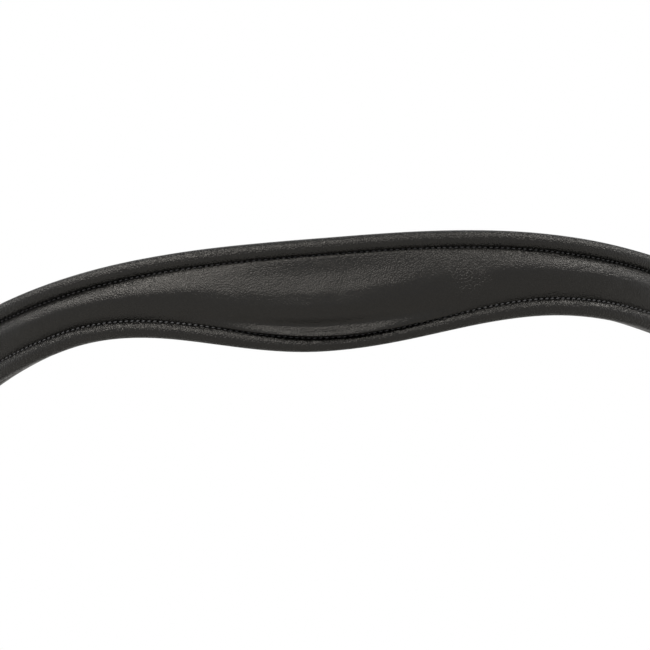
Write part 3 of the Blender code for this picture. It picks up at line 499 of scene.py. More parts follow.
def strap_piece(name: str, rows: Sequence[Row], thickness: float = STRAP_LEATHER,
                edge: float = STRAP_EDGE, columns: int = 8) -> bpy.types.Object:
    """A leather strap with rounded edges.

    Args:
        name: the piece's name.
        rows: its two long edges, along its middle layer.
        thickness: the leather's thickness.
        edge: radius of the dressed edge.
        columns: faces across.

    Returns:
        The strap.
    """
    shares = [k / columns for k in range(columns + 1)]
    piece = grid_piece(name, [[a.lerp(b, s) for s in shares] for a, b in rows])
    thicken(piece, thickness, edge)
    return piece


def keep_crease_off(piece: bpy.types.Object, place: Matrix,
                    near: Callable[[Vector], bool]) -> None:
    """Marks a cut's rim as far from the strap's edges, so that no crease is drawn there.

    Args:
        piece: the strap.
        place: the strap's local frame.
        near: tells whether a point in that frame is on the rim.
    """
    back = place.inverted()
    mark = piece.data.attributes["edge_mm"].data
    for vertex in piece.data.vertices:
        if near(back @ vertex.co):
            mark[vertex.index].value = FAR_MM


def punch(piece: bpy.types.Object, place: Matrix, level: float, radius: float,
          outward: float, depth: float = 0.008) -> None:
    """Punches a round hole through a strap.

    Args:
        piece: the strap.
        place: the strap's local frame.
        level: the hole's height in that frame.
        radius: the hole's radius.
        outward: where the leather's middle lies, outward.
        depth: the punch's length.
    """
    tool = primitive(bpy.ops.mesh.primitive_cylinder_add, vertices=20, radius=radius,
                     depth=depth)
    cut(piece, tool, place @ Matrix.Translation((outward, 0, level))
        @ Matrix.Rotation(math.pi / 2, 4, "Y"))
    keep_crease_off(piece, place, lambda spot: math.hypot(spot.y, spot.z - level)
                    < radius + CUT_RIM)


def circle(sides: int) -> list[Spot]:
    """Cosine and sine of evenly spaced turns."""
    return [(math.cos(math.tau * k / sides), math.sin(math.tau * k / sides))
            for k in range(sides)]


def ring_tube(name: str, outline: Sequence[Vector], radius: float) -> bpy.types.Object:
    """A round rod bent into a closed ring along an outline."""
    count = len(outline)
    centre = sum(outline, Vector()) / count
    normal = (outline[0] - centre).cross(outline[count // 4] - centre).normalized()
    rings = []
    for k in range(count + 1):
        run = outline[(k + 1) % count] - outline[(k - 1) % count]
        side = run.normalized().cross(normal)
        rings.append([outline[k % count] + side * radius * c + normal * radius * s
                      for c, s in circle(10)])
    return tube(name, rings, 60)


def rod(name: str, points: Sequence[Vector], radii: Sequence[float], sides: int = 14,
        guide: Vector = Vector((0, 0, 1))) -> bpy.types.Object:
    """A round roll along points.

    Args:
        name: the piece's name.
        points: the roll's middle line.
        radii: its radius at each point.
        sides: faces round it.
        guide: a direction that is never along the roll.

    Returns:
        The roll.
    """
    rings = []
    for k, (point, radius) in enumerate(zip(points, radii)):
        run = (points[min(k + 1, len(points) - 1)] - points[max(k - 1, 0)]).normalized()
        side = run.cross(guide).normalized()
        over = side.cross(run).normalized()
        rings.append([point + (side * c + over * s) * radius for c, s in circle(sides)])
    return tube(name, rings, 60)


def stitches(name: str, points: Sequence[Vector], normals: Sequence[Vector], pitch: float,
             radius: float = 0.00032, lift: float = 0.0) -> bpy.types.Object:
    """A row of stitches, one short thread for each.

    Args:
        name: the piece's name.
        points: the line of the seam.
        normals: outward from the leather at each point.
        pitch: from one stitch to the next.
        radius: the thread's radius.
        lift: how far the thread's middle stands off the line.

    Returns:
        One mesh that holds the whole row.
    """
    seed = primitive(bpy.ops.mesh.primitive_uv_sphere_add, segments=6, ring_count=4,
                     radius=1)
    verts = np.array([tuple(v.co) for v in seed.data.vertices])
    faces = [tuple(p.vertices) for p in seed.data.polygons]
    bpy.data.objects.remove(seed, do_unlink=True)
    line, out = (np.array([tuple(v) for v in values]) for values in (points, normals))
    run = running_length(line)

    def at(values: np.ndarray, place: float) -> Vector:
        """The value at a place along the seam."""
        return Vector([np.interp(place, run, values[:, c]) for c in range(3)])

    count = max(1, int(run[-1] / pitch))
    all_verts, all_faces = [], []
    for k in range(count):
        place = (k + 0.5) * run[-1] / count
        first, last = (at(line, place + d) for d in (-pitch * 0.40, pitch * 0.40))
        up = at(out, place).normalized()
        x = (last - first).normalized()
        y = up.cross(x).normalized()
        lean = x * 0.985 + y * 0.17
        turn = np.array([tuple(lean * (last - first).length / 2), tuple(y * radius),
                         tuple(x.cross(y) * radius)])
        all_verts.append(verts @ turn + np.array(tuple((first + last) / 2 + up * lift)))
        all_faces += [tuple(k * len(verts) + v for v in f) for f in faces]
    mesh = bpy.data.meshes.new(name)
    mesh.from_pydata(np.concatenate(all_verts).tolist(), [], all_faces)
    piece = bpy.data.objects.new(name, mesh)
    bpy.context.scene.collection.objects.link(piece)
    edit(piece, face_outward)
    bpy.ops.object.shade_smooth()
    return piece


def rounded_outline(width: float, height: float, radius: float) -> list[Spot]:
    """Points round a rectangle with round corners, centred on zero."""
    points = []
    for quarter, (sx, sy) in enumerate(((1, 1), (-1, 1), (-1, -1), (1, -1))):
        for k in range(7):
            turn = math.pi / 2 * (quarter + k / 6)
            points.append((sx * (width / 2 - radius) + radius * math.cos(turn),
                           sy * (height / 2 - radius) + radius * math.sin(turn)))
    return points


def sleeve(name: str, place: Matrix, outline: list[Spot], height: float, steps: int,
           wall: float, edge: float) -> bpy.types.Object:
    """A leather loop that goes round other straps.

    Args:
        name: the piece's name.
        place: the loop's frame, whose origin is in its middle.
        outline: the loop's plan, through the middle of its wall.
        height: its height along Z.
        steps: faces along its height.
        wall: the leather's thickness.
        edge: radius of its edges.

    Returns:
        The loop.
    """
    piece = grid_piece(name, [[place @ Vector((x, y, height * (k / steps - 0.5)))
                               for k in range(steps + 1)]
                              for x, y in outline + outline[:1]])
    edit(piece, weld)
    thicken(piece, wall, edge, 35)
    return piece


def frame_matrix(origin: Vector, outward: Vector, up: Vector) -> Matrix:
    """Local X outward, Z up along a strap and Y across its width."""
    x, z = outward.normalized(), up.normalized()
    y = z.cross(x).normalized()
    return Matrix.Translation(origin) @ Matrix((x, y, z)).transposed().to_4x4()


def bell(value: float, reach: float) -> float:
    """1 at zero, falling smoothly to 0 at reach."""
    return 0.0 if abs(value) >= reach else math.cos(math.pi / 2 * value / reach) ** 2


# An end turned round a bar, as points about the bar's centre.
EYE_ARC = [(EYE_RADIUS * math.cos(math.radians(13 * k)),
            EYE_RADIUS * math.sin(math.radians(13 * k))) for k in range(15)]


@dataclass
class BuckledStrap:
    """A buckle with the strap that carries it and the billet that passes through it.

    The strap's middle layer is at X = 0 in the local frame and the bar's centre is at
    (-EYE_RADIUS, 0, 0).
    """

    label: str
    body: str
    place: Matrix
    width: float
    prefix: str

    def world(self, path: Sequence[Spot]) -> list[Row]:
        """Edge rows of the strap where it follows (X, Z) points."""
        return [self.row(x, z, self.width / 2) for x, z in path]

    def row(self, x: float, z: float, half: float) -> Row:
        """Both edges at one place."""
        return self.place @ Vector((x, -half, z)), self.place @ Vector((x, half, z))

    def eye(self) -> list[Spot]:
        """The turned end round the bar, from the strap to the end of the turned leather."""
        return [(x - EYE_RADIUS, z) for x, z in EYE_ARC] + [
            (-BILLET_OFFSET - STRAP_LEATHER * 0.55, -EYE_RADIUS * 1.9),
            (-BILLET_OFFSET - STRAP_LEATHER * 0.18, -EYE_RADIUS * 2.35),
            (-BILLET_OFFSET, -EYE_RADIUS * 2.8), (-BILLET_OFFSET, -0.0215)]

    def round_end(self, x: float, z: float, direction: int) -> list[Row]:
        """Rows of a half round end, from its tip to its full width."""
        half = self.width / 2
        turns = [math.pi / 2 * (k + 0.6) / 8.6 for k in range(9)]
        return [self.row(x, z + direction * half * math.cos(t), half * math.sin(t))
                for t in turns]

    def strap(self, name: str, below: list[Spot],
              far_end: Sequence[Row] = ()) -> bpy.types.Object:
        """The strap that carries the buckle, slotted for the tongue."""
        piece = strap_piece(name, self.world(self.eye()[::-1] + below) + list(far_end))
        half = TONGUE / 2 + 0.0008
        size = (EYE_RADIUS * 3.6, 2 * half, EYE_RADIUS * 3.86, 1)
        cut(piece, primitive(bpy.ops.mesh.primitive_cube_add, size=1), self.place
            @ Matrix.Translation((-EYE_RADIUS * 0.8, 0, EYE_RADIUS * 0.47))
            @ Matrix.Diagonal(size))
        keep_crease_off(piece, self.place, lambda spot: abs(spot.y) < half + CUT_RIM
                        and abs(spot.z) < EYE_RADIUS * 2.6)
        smooth(piece)
        dress(piece, self.body, BRIDLE_LEATHER, Slot.LEATHER, name)
        self.turned_end_stitches(name)
        return piece

    def turned_end_stitches(self, name: str) -> None:
        """Three sides of stitches that hold the turned end, seen on its inner face."""
        inner = -BILLET_OFFSET - STRAP_LEATHER / 2
        edge = self.width / 2 - 0.0022
        path = [(-edge, -0.0088), (-edge, -0.0195), (edge, -0.0195), (edge, -0.0088)]
        spots = [(a[0] + (b[0] - a[0]) * k / 6, a[1] + (b[1] - a[1]) * k / 6)
                 for a, b in zip(path, path[1:]) for k in range(6)] + path[-1:]
        points = [self.place @ Vector((inner, *spot)) for spot in spots]
        out = self.place.to_3x3() @ Vector((-1, 0, 0))
        row = stitches(name + "_stitches", points, [out] * len(points), STRAP_STITCH)
        dress(row, self.body, THREAD, Slot.LEATHER)

    def billet(self, name: str, rows: list[Row], spare: Sequence[int] = (1, 2, 3),
               tip_drop: float = TIP_DROP, fold: Optional[Fold] = None) -> None:
        """The plain end that comes down through the buckle, with its punched holes."""
        tip = self.round_end(BILLET_OFFSET, -tip_drop + self.width / 2, -1)
        piece = strap_piece(name, rows + tip[::-1])
        punch(piece, self.place, HOLE_LEVEL, TONGUE_HOLE, BILLET_OFFSET)
        for k in spare:
            punch(piece, self.place, HOLE_LEVEL - HOLE_PITCH * k, HOLE, BILLET_OFFSET)
        smooth(piece)
        dress(piece, self.body, BRIDLE_LEATHER, Slot.LEATHER, name, fold=fold)

    def keeper(self, name: str, body: str, outside: float, level: float) -> None:
        """A leather loop round the layers that reach outward to an X level."""
        wall = 0.0016
        inside = -BILLET_OFFSET - STRAP_LEATHER / 2
        outline = rounded_outline(outside - inside + 2 * LOOP_SLACK + wall,
                                  self.width + 2 * LOOP_SLACK + wall, 0.0006 + wall / 2)
        at = self.place @ Matrix.Translation(((inside + outside) / 2, 0, level))
        piece = sleeve(name, at, outline, 0.007, 4, wall, 0.0005)
        dress(piece, body, BRIDLE_LEATHER, Slot.LEATHER, name)

    def buckle(self) -> None:
        """The buckle's frame, its tongue and its two keepers."""
        rail_x = BILLET_OFFSET + STRAP_LEATHER / 2 + GAP + BAR * 0.62
        reach = math.hypot(RAIL, rail_x + EYE_RADIUS)
        lean = math.atan2(rail_x + EYE_RADIUS, RAIL)
        tilt = (self.place @ Matrix.Translation((-EYE_RADIUS, 0, 0))
                @ Matrix.Rotation(lean, 4, "Y") @ Matrix.Translation((0, 0, reach / 2))
                @ Matrix.Rotation(math.pi / 2, 4, "Z") @ Matrix.Rotation(math.pi / 2, 4, "X"))
        line = rounded_outline(self.width + 0.0016 + BAR, reach, 0.0023)
        name = f"{self.prefix}_buckle_{self.label}"
        piece = ring_tube(name, [tilt @ Vector((x, y, 0)) for x, y in line], BAR / 2)
        dress(piece, self.body, STEEL, Slot.STEEL, name)
        self.tongue(rail_x)
        outside = BILLET_OFFSET + STRAP_LEATHER / 2
        sliding = f"{self.prefix}_sliding_keeper_{self.label}"
        self.keeper(f"{self.prefix}_fixed_keeper_{self.label}", self.body, outside,
                    FIXED_KEEPER)
        self.keeper(sliding, sliding, outside, SLIDING_KEEPER)

    def tongue(self, rail_x: float) -> None:
        """A cast tongue: an eye round the bar and a cranked shank that thins to its tip."""
        half = TONGUE / 2
        rest = rail_x + BAR / 2 + GAP + half + 0.0004
        key = [(-EYE_RADIUS + 0.0016, 0.0036), (0.0002, 0.0062), (0.0022, 0.0068),
               (0.0052, 0.0070), (rest - 0.0014, 0.0088), (rest, 0.0128),
               (rest, 0.0180), (rest, 0.0222), (rest - 0.0004, 0.0242)]
        name = f"{self.prefix}_tongue_{self.label}"
        shank = rod(name, [self.place @ Vector((x, 0, z)) for x, z in key],
                    [half * f for f in (0.8, 1, 1, 1, 1, 1, 0.97, 0.9, 0.5)], 10,
                    self.place.to_3x3() @ Vector((0, 1, 0)))
        shape(shank, "SUBSURF", levels=1, render_levels=1)
        radius = TONGUE_EYE + 0.00062
        eye = ring_tube(name + "_eye", [self.place @ Vector(
            (-EYE_RADIUS + radius * c, 0, radius * s)) for c, s in circle(20)], 0.0006)
        activate(shank)
        eye.select_set(True)
        bpy.ops.object.join()
        smooth(shank, 60)
        dress(shank, name, STEEL, Slot.STEEL, name)


def crown_station(turn: float) -> Row:
    """Middle of the crown's leather and its outward normal.

    Args:
        turn: 0 on the poll to a quarter turn where the side hangs straight.

    Returns:
        The point and the normal.
    """
    part = 2 / 2.5
    steep = part * 1.5
    s, c = max(math.sin(turn), 0.0), max(math.cos(turn), 0.0)
    point = Vector((ARCH_FLAT + ARCH_SPAN * s ** part, 0,
                    CROWN_LEVEL - ARCH_DROP * (1 - c ** part)))
    return point, Vector((s ** steep / ARCH_SPAN, 0, c ** steep / ARCH_DROP)).normalized()


@dataclass
class Crown:
    """The headpiece: thick leather over a padded lining with a roll along each edge."""

    pad_drop: float = 0.132
    roll: float = 0.0027
    steps: int = 48

    def stations(self, end_drop: float) -> list[tuple[Vector, Vector, float]]:
        """Right half from the poll down: point, normal and the run from the poll."""
        half = [crown_station(math.pi / 2 * (k / self.steps) ** 0.8)
                for k in range(self.steps + 1)]
        sideways = Vector((1, 0, 0))
        half[-1] = (half[-1][0], sideways)
        straight = end_drop - ARCH_DROP
        count = max(2, int(straight / 0.004))
        half += [(Vector((CROWN_HALF_SPAN, 0, CROWN_LEVEL - ARCH_DROP
                          - straight * (k + 1) / count)), sideways) for k in range(count)]
        run, before, found = 0.0, half[0][0], []
        for point, normal in half:
            run += (point - before).length
            before = point
            found.append((point, normal, run))
        return found

    def edges(self, run: float, inset: float) -> Spot:
        """Front and rear edge of the crown at a run from the poll."""
        wider = 0.005 * bell(run, 0.075)
        return (CROWN_FRONT - wider + 0.007 * bell(run - 0.105, 0.05) + inset,
                CROWN_REAR + wider - inset)

    def both(self, made: Callable[[Vector, Vector, float], list[Vector]],
             end_drop: float) -> list[list[Vector]]:
        """Rows from the left end to the right, from a rule for the right half."""
        half = [made(*s) for s in self.stations(end_drop)]
        return [[Vector((-p.x, p.y, p.z)) for p in row] for row in reversed(half)] + half

    def build(self) -> None:
        """Makes the leather, the padded lining, the rolls and the stitching."""
        rows = self.both(lambda point, normal, run: [
            Vector((point.x, y, point.z)) for y in self.edges(run, 0)], ROOT_DROP)
        strap = strap_piece("crown_strap", rows, CROWN_LEATHER, 0.0011, 12)
        self.slit(strap)
        dress(strap, "headpiece", BRIDLE_LEATHER, Slot.LEATHER, "crown_strap")
        self.lining()
        for index, end in enumerate(("front", "rear")):
            self.edge_roll(end, index)
        for index, end in enumerate(("front", "rear")):
            self.edge_seam(end, index)

    def edge_roll(self, end: str, index: int) -> None:
        """The roll along one edge of the lining."""
        def middle(point: Vector, normal: Vector, run: float) -> list[Vector]:
            """The roll's middle, under the edge."""
            at = point - normal * (CROWN_LEATHER / 2 + GAP + self.roll)
            return [Vector((at.x, self.edges(run, self.roll)[index], at.z))]

        line = [row[0] for row in self.both(middle, self.pad_drop)]
        radii = [self.roll * (1 + 0.03 * noise.noise(p * 90)) for p in line]
        radii[0] = radii[-1] = self.roll * 0.6
        name = f"crown_{end}_roll"
        piece = rod(name, line, radii, 16, Vector((0, 1, 0)))
        dress(piece, "headpiece", SOFT_LINING, Slot.NAPPA, name)

    def edge_seam(self, end: str, index: int) -> None:
        """The seam along one edge, where its roll is sewn to the leather."""
        def seam(point: Vector, normal: Vector, run: float) -> list[Vector]:
            """A point on the leather's face, with its normal."""
            at = point + normal * (CROWN_LEATHER / 2)
            return [Vector((at.x, self.edges(run, 0.0052)[index], at.z)), normal]

        line, out = zip(*self.both(seam, self.pad_drop))
        row = stitches(f"crown_{end}_stitches", line, out, 0.0028, 0.00034, 0.00005)
        dress(row, "headpiece", THREAD, Slot.LEATHER)

    def slit(self, strap: bpy.types.Object) -> None:
        """Parts each side's lower end into its billets, with a round stop to each slit."""
        for x in (CROWN_HALF_SPAN, -CROWN_HALF_SPAN):
            for y in (-0.0040, 0.0120):
                cut(strap, primitive(bpy.ops.mesh.primitive_cube_add, size=1),
                    Matrix.Translation((x, y, -0.1770))
                    @ Matrix.Diagonal((0.012, 0.0007, 0.030, 1)))
                cut(strap, primitive(bpy.ops.mesh.primitive_cylinder_add, vertices=24,
                                     radius=0.0012, depth=0.012),
                    Matrix.Translation((x, y, -0.1625))
                    @ Matrix.Rotation(math.pi / 2, 4, "Y"))
        smooth(strap)

    def lining(self) -> None:
        """The cushioned lining: foam under soft nappa, drawn in along its two seams."""
        top = -(CROWN_LEATHER / 2 + GAP)
        deep = CROWN_FOAM + GAP + NAPPA
        whole = self.stations(self.pad_drop)[-1][2]

        def ring(point: Vector, normal: Vector, run: float) -> list[Vector]:
            """The lining's section, flat above and swelling below."""
            front, rear = self.edges(run, 2 * self.roll + GAP)
            end = min(1.0, max(0.0, (whole - run) / 0.010))
            swell = math.sqrt(max(0.02, 1 - (1 - end) ** 2))
            section = [(rear, top), (front, top)]
            for k in range(17):
                full = (1 - abs(k / 8 - 1) ** 3.2) ** 0.5
                section.append((front + (rear - front) * k / 16,
                                top - deep * swell * (0.45 + 0.55 * full)))
            return [Vector((0, y, 0)) + point + normal * z for y, z in section]

        piece = tube("crown_lining", self.both(ring, self.pad_drop), 50)
        dress(piece, "headpiece", SOFT_LINING, Slot.NAPPA, "crown_lining", "crown_foam")


def smooth_curve(knots: Sequence[Spot], count: int = 200) -> tuple[np.ndarray, np.ndarray]:
    """Samples a curve through knots that never overshoots them.

    Args:
        knots: places and heights, in order.
        count: how many samples.

    Returns:
        The places and the heights of the samples.
    """
    xs, ys = (np.array(v, dtype=float) for v in zip(*knots))
    rise = np.diff(ys) / np.diff(xs)
    before, after = rise[:-1], rise[1:]
    inner = np.where(before * after > 0, 2 * before * after / (before + after + 1e-12), 0)
    slope = np.concatenate([rise[:1], inner, rise[-1:]])
    at = np.linspace(xs[0], xs[-1], count)
    k = np.clip(np.searchsorted(xs, at, side="right") - 1, 0, len(xs) - 2)
    wide = xs[k + 1] - xs[k]
    t = (at - xs[k]) / wide
    height = ((1 + 2 * t) * (1 - t) ** 2 * ys[k] + t * (1 - t) ** 2 * wide * slope[k]
              + t * t * (3 - 2 * t) * ys[k + 1] + t * t * (t - 1) * wide * slope[k + 1])
    return at, height


# From the lower groove to the upper one: a ledge, a fold, the hump and its upper shoulder.
OVAL_SHARES, OVAL_HEIGHTS = smooth_curve(
    ((0, 0.60), (0.012, 0.74), (0.035, 0.72), (0.14, 0.44), (0.27, 0.82), (0.40, 1.0),
     (0.53, 0.96), (0.68, 0.74), (0.80, 0.58), (0.93, 0.50), (0.98, 0.46), (1, 0.38)))


@dataclass
class PaddedBand:
    """A padded band round the front of the head, with a roll along each edge."""

    name: str
    half_span: float
    depth: float
    plan_power: float
    level: float
    width: float
    bulge: float
    pad_end: float
    roll: float = 0.0026
    slim: float = 0.0
    foam: float = 0.0026
    crown: float = 0.0022
    low_edge: float = 0.0018
    oval: float = 0.047
    count: int = 620
    across: int = 56

    def middle(self, turn: float) -> Vector:
        """Middle of the strap's plain width at a turn from the front."""
        part = 2 / self.plan_power
        sine = math.sin(turn)
        x = self.half_span * math.copysign(abs(sine) ** part, sine)
        return Vector((x, -self.depth * math.cos(turn) ** part, self.level - self.fall(x)))

    def turn_at(self, y: float) -> float:
        """The turn from the front at which the band has come back to y."""
        return math.acos((-y / self.depth) ** (self.plan_power / 2))

    def station(self, turn: float) -> tuple[Vector, Vector, Vector, float, float]:
        """Middle, outward normal, upward direction and the two half widths."""
        run = self.middle(turn + 0.002) - self.middle(turn - 0.002)
        outward = Vector((run.y, -run.x, 0)).normalized()
        upward = run.cross(outward).normalized()
        middle = self.middle(turn)
        return (middle, outward, -upward if upward.z < 0 else upward, self.width / 2,
                self.lower_half(middle.x))

    def lower_half(self, x: float) -> float:
        """From the plain width's middle to the lower edge."""
        return self.width / 2 + self.bulge * bell(x, 0.080)

    def fall(self, x: float) -> float:
        """How far the band has dropped below its centre."""
        return 0.0

    def turns(self, end_y: float, count: int) -> list[float]:
        """Turns from the left end to the right."""
        last = self.turn_at(end_y)
        return [last * (2 * k / count - 1) for k in range(count + 1)]

    def base_rows(self, end_y: float) -> list[Row]:
        """Lower and upper edge of the band's strap."""
        found = [self.station(turn) for turn in self.turns(end_y, 120)]
        return [(middle - upward * (under - STRAP_INSET),
                 middle + upward * (over - STRAP_INSET))
                for middle, _, upward, over, under in found]

    def pad_height(self, share: float, x: float) -> float:
        """Height of the cover's outer face over the strap's face.

        Args:
            share: 0 at the lower groove to 1 at the upper one.
            x: place across the head.

        Returns:
            The height.
        """
        peak = self.foam + self.crown + GAP + NAPPA
        wide = bell(x, self.oval)
        far = (0.58 - share) / 0.58 if share < 0.58 else (share - 0.58) / 0.42
        plain = 1 - 0.64 * min(far, 1.0) ** (1.8 if share < 0.58 else 1.6)
        oval = float(np.interp(share, OVAL_SHARES, OVAL_HEIGHTS))
        full = plain * (1 - wide) * 0.9 + oval * wide
        return self.low_edge + (peak - self.low_edge) * full

    def pad(self) -> None:
        """Cover over foam, the two rolls and the thread in the two grooves."""
        seat = BAND_LEATHER / 2 + GAP
        rings, outs = [], []
        rolls, seams = {"upper": [], "lower": []}, {"upper": [], "lower": []}
        for k, turn in enumerate(self.turns(self.pad_end, self.count)):
            middle, outward, upward, over, under = self.station(turn)
            low_roll = self.roll - self.slim * bell(middle.x - 0.015, 0.056)
            top = middle + upward * (over - 2 * self.roll - 0.0001)
            low = middle - upward * (under - 2 * low_roll - 0.0001)
            end = min(1.0, min(k, self.count - k) / 8)
            swell = math.sqrt(max(0.04, 1 - (1 - end) ** 2))
            ring = [top + outward * seat, low + outward * seat]
            for j in range(self.across + 1):
                share = j / self.across
                across = low.lerp(top, share)
                rise = self.pad_height(share, middle.x) * swell
                ring.append(across + outward * (seat + rise + self.ripple(across, share)))
            rings.append(ring)
            part = (1 + 0.02 * noise.noise(middle * 60)) * (0.5 + 0.5 * swell)
            for edge, radius, reach, groove, lift in (
                    ("upper", self.roll, over, top, 1.2),
                    ("lower", low_roll, -under, low, 1.3)):
                way = math.copysign(1, reach)
                rolls[edge].append((middle + upward * (reach - way * radius)
                                    + outward * (seat + radius), radius * part))
                seams[edge].append(groove + upward * way * 0.0002
                                   + outward * (seat + radius * lift))
            outs.append(outward)
        cover = tube(self.name + "_cover", rings, 50)
        self.mark(cover)
        dress(cover, self.name, NAPPA_COVER, Slot.NAPPA, self.name + "_cover",
              self.name + "_foam")
        for edge, line in rolls.items():
            name = f"{self.name}_{edge}_roll"
            piece = rod(name, *zip(*line), 22)
            dress(piece, self.name, NAPPA_SKIN, Slot.NAPPA, name)
        for edge, line in seams.items():
            row = stitches(f"{self.name}_{edge}_stitches", line[6:-6], outs[6:-6], 0.0018,
                           0.00036)
            dress(row, self.name, THREAD, Slot.NAPPA)

    def mark(self, cover: bpy.types.Object) -> None:
        """Says where the cover is puckered and where it has cross wrinkles."""
        mesh = cover.data
        spots = np.empty(len(mesh.vertices) * 3, dtype=np.float32)
        mesh.vertices.foreach_get("co", spots)
        x, z = spots[::3], spots[2::3] - self.level
        note(mesh, "pucker", np.exp(-(((x - 0.0445) / 0.0065) ** 2
                                      + ((z + 0.0055) / 0.0065) ** 2) ** 1.5))
        note(mesh, "cross", np.exp(-(((x - 0.084) / 0.016) ** 2) ** 1.5))

    def ripple(self, at: Vector, share: float) -> float:
        """Small swells and puckers of the soft cover."""
        fade = bell(share - 0.5, 0.5)
        return fade * (0.00016 * noise.noise(at * 110) + 0.00009 * noise.noise(at * 330))


@dataclass
class Browband(PaddedBand):
    """The browband, whose end loops slide on the crown."""

    name: str = "browband"
    half_span: float = 0.1166
    depth: float = 0.0965
    plan_power: float = 2.3
    level: float = -0.1485
    width: float = 0.0215
    bulge: float = 0.0126
    pad_end: float = -0.040
    slim: float = 0.0006
    wall: float = 0.0022
    play: float = 0.003

    def fall(self, x: float) -> float:
        """How far the band has dropped below its centre."""
        return 0.0138 * (abs(x) / 0.097) ** 3.1

    def lower_half(self, x: float) -> float:
        """The lower edge is cut a little fuller on the right than on the left."""
        reach = 0.092 if x > 0 else 0.078
        flare = 0.0013 * (max(0.0, -x) / 0.097) ** 8
        return self.width / 2 + 0.0125 * x + flare + self.bulge * bell(x, reach)

    def build(self) -> None:
        """Makes the strap, its padding and its end loops."""
        front = CROWN_FRONT - self.play - self.wall
        strap = strap_piece("browband_strap", self.base_rows(front - BAND_LEATHER * 0.7),
                            BAND_LEATHER, BAND_EDGE)
        dress(strap, self.name, BRIDLE_LEATHER, Slot.LEATHER, "browband_strap")
        self.pad()
        self.loops(self.middle(self.turn_at(front)).z)

    def loops(self, level: float) -> None:
        """The leather loop at each end, round the crown and its billets."""
        deep = CROWN_LEATHER + GAP + STRAP_LEATHER + 2 * LOOP_SLACK
        x = CROWN_HALF_SPAN + CROWN_LEATHER / 2 + LOOP_SLACK - deep / 2
        y = (CROWN_REAR + CROWN_FRONT) / 2
        outline = rounded_outline(deep + self.wall, CROWN_REAR - CROWN_FRONT
                                  + 2 * self.play + self.wall, self.wall / 2 + 0.001)
        for label, side in SIDES:
            name = "browband_loop_" + label
            piece = sleeve(name, Matrix.Translation((side * x, y, level)), outline, 0.022,
                           6, self.wall, 0.0007)
            dress(piece, self.name, BRIDLE_LEATHER, Slot.LEATHER, name)


@dataclass
class Noseband(PaddedBand):
    """The padded cavesson noseband with its dees."""

    name: str = "noseband"
    half_span: float = NOSE_HALF_SPAN
    depth: float = 0.094
    plan_power: float = 2.4
    level: float = NOSE_LEVEL
    width: float = 0.028
    bulge: float = 0.014
    pad_end: float = -0.010
    count: int = 380

    def build(self) -> None:
        """Makes the strap with its turned ends, the padding and the dees."""
        half = self.width / 2 - 0.001
        tails = {side: [(Vector((x, y, self.level - half)), Vector((x, y, self.level + half)))
                        for x, y in self.eye(side)] for _, side in SIDES}
        strap = strap_piece("noseband_strap", tails[-1][::-1] + self.base_rows(-0.004)
                            + tails[1], BAND_LEATHER, BAND_EDGE)
        dress(strap, self.name, BRIDLE_LEATHER, Slot.LEATHER, "noseband_strap")
        self.pad()
        line = rounded_outline(2 * DEE_HALF - DEE_ROD, self.width + DEE_ROD, 0.0021)
        for label, side in SIDES:
            at = Vector((side * (self.half_span - EYE_RADIUS), DEE_Y, self.level))
            name = "noseband_dee_" + label
            dee = ring_tube(name, [at + Vector((0, x, y)) for x, y in line], DEE_ROD / 2)
            dress(dee, self.name, STEEL, Slot.STEEL, name)
            for y in (0.0100, 0.0185):
                seam = [Vector((side * (self.half_span + BAND_LEATHER / 2), y,
                                self.level + half * (0.78 - 1.56 * k / 10)))
                        for k in range(11)]
                row = stitches(f"noseband_{label}_seam_{int(y * 1000)}", seam,
                               [Vector((side, 0, 0))] * 11, STRAP_STITCH)
                dress(row, self.name, THREAD, Slot.LEATHER)

    def eye(self, side: int) -> list[Spot]:
        """Plan points of the end turned round a dee's bar and back inside."""
        inner = self.half_span - BAND_LEATHER - 2 * GAP
        tail = [(inner - 0.0018, EYE_RADIUS * 1.9), (inner - 0.0006, EYE_RADIUS * 2.3),
                (inner, EYE_RADIUS * 2.7), (inner, 0.0115)]
        points = [(self.half_span - EYE_RADIUS + x, FRONT_BAR + y) for x, y in EYE_ARC]
        points += [(x, FRONT_BAR - y) for x, y in tail]
        return [(side * x, y) for x, y in points]


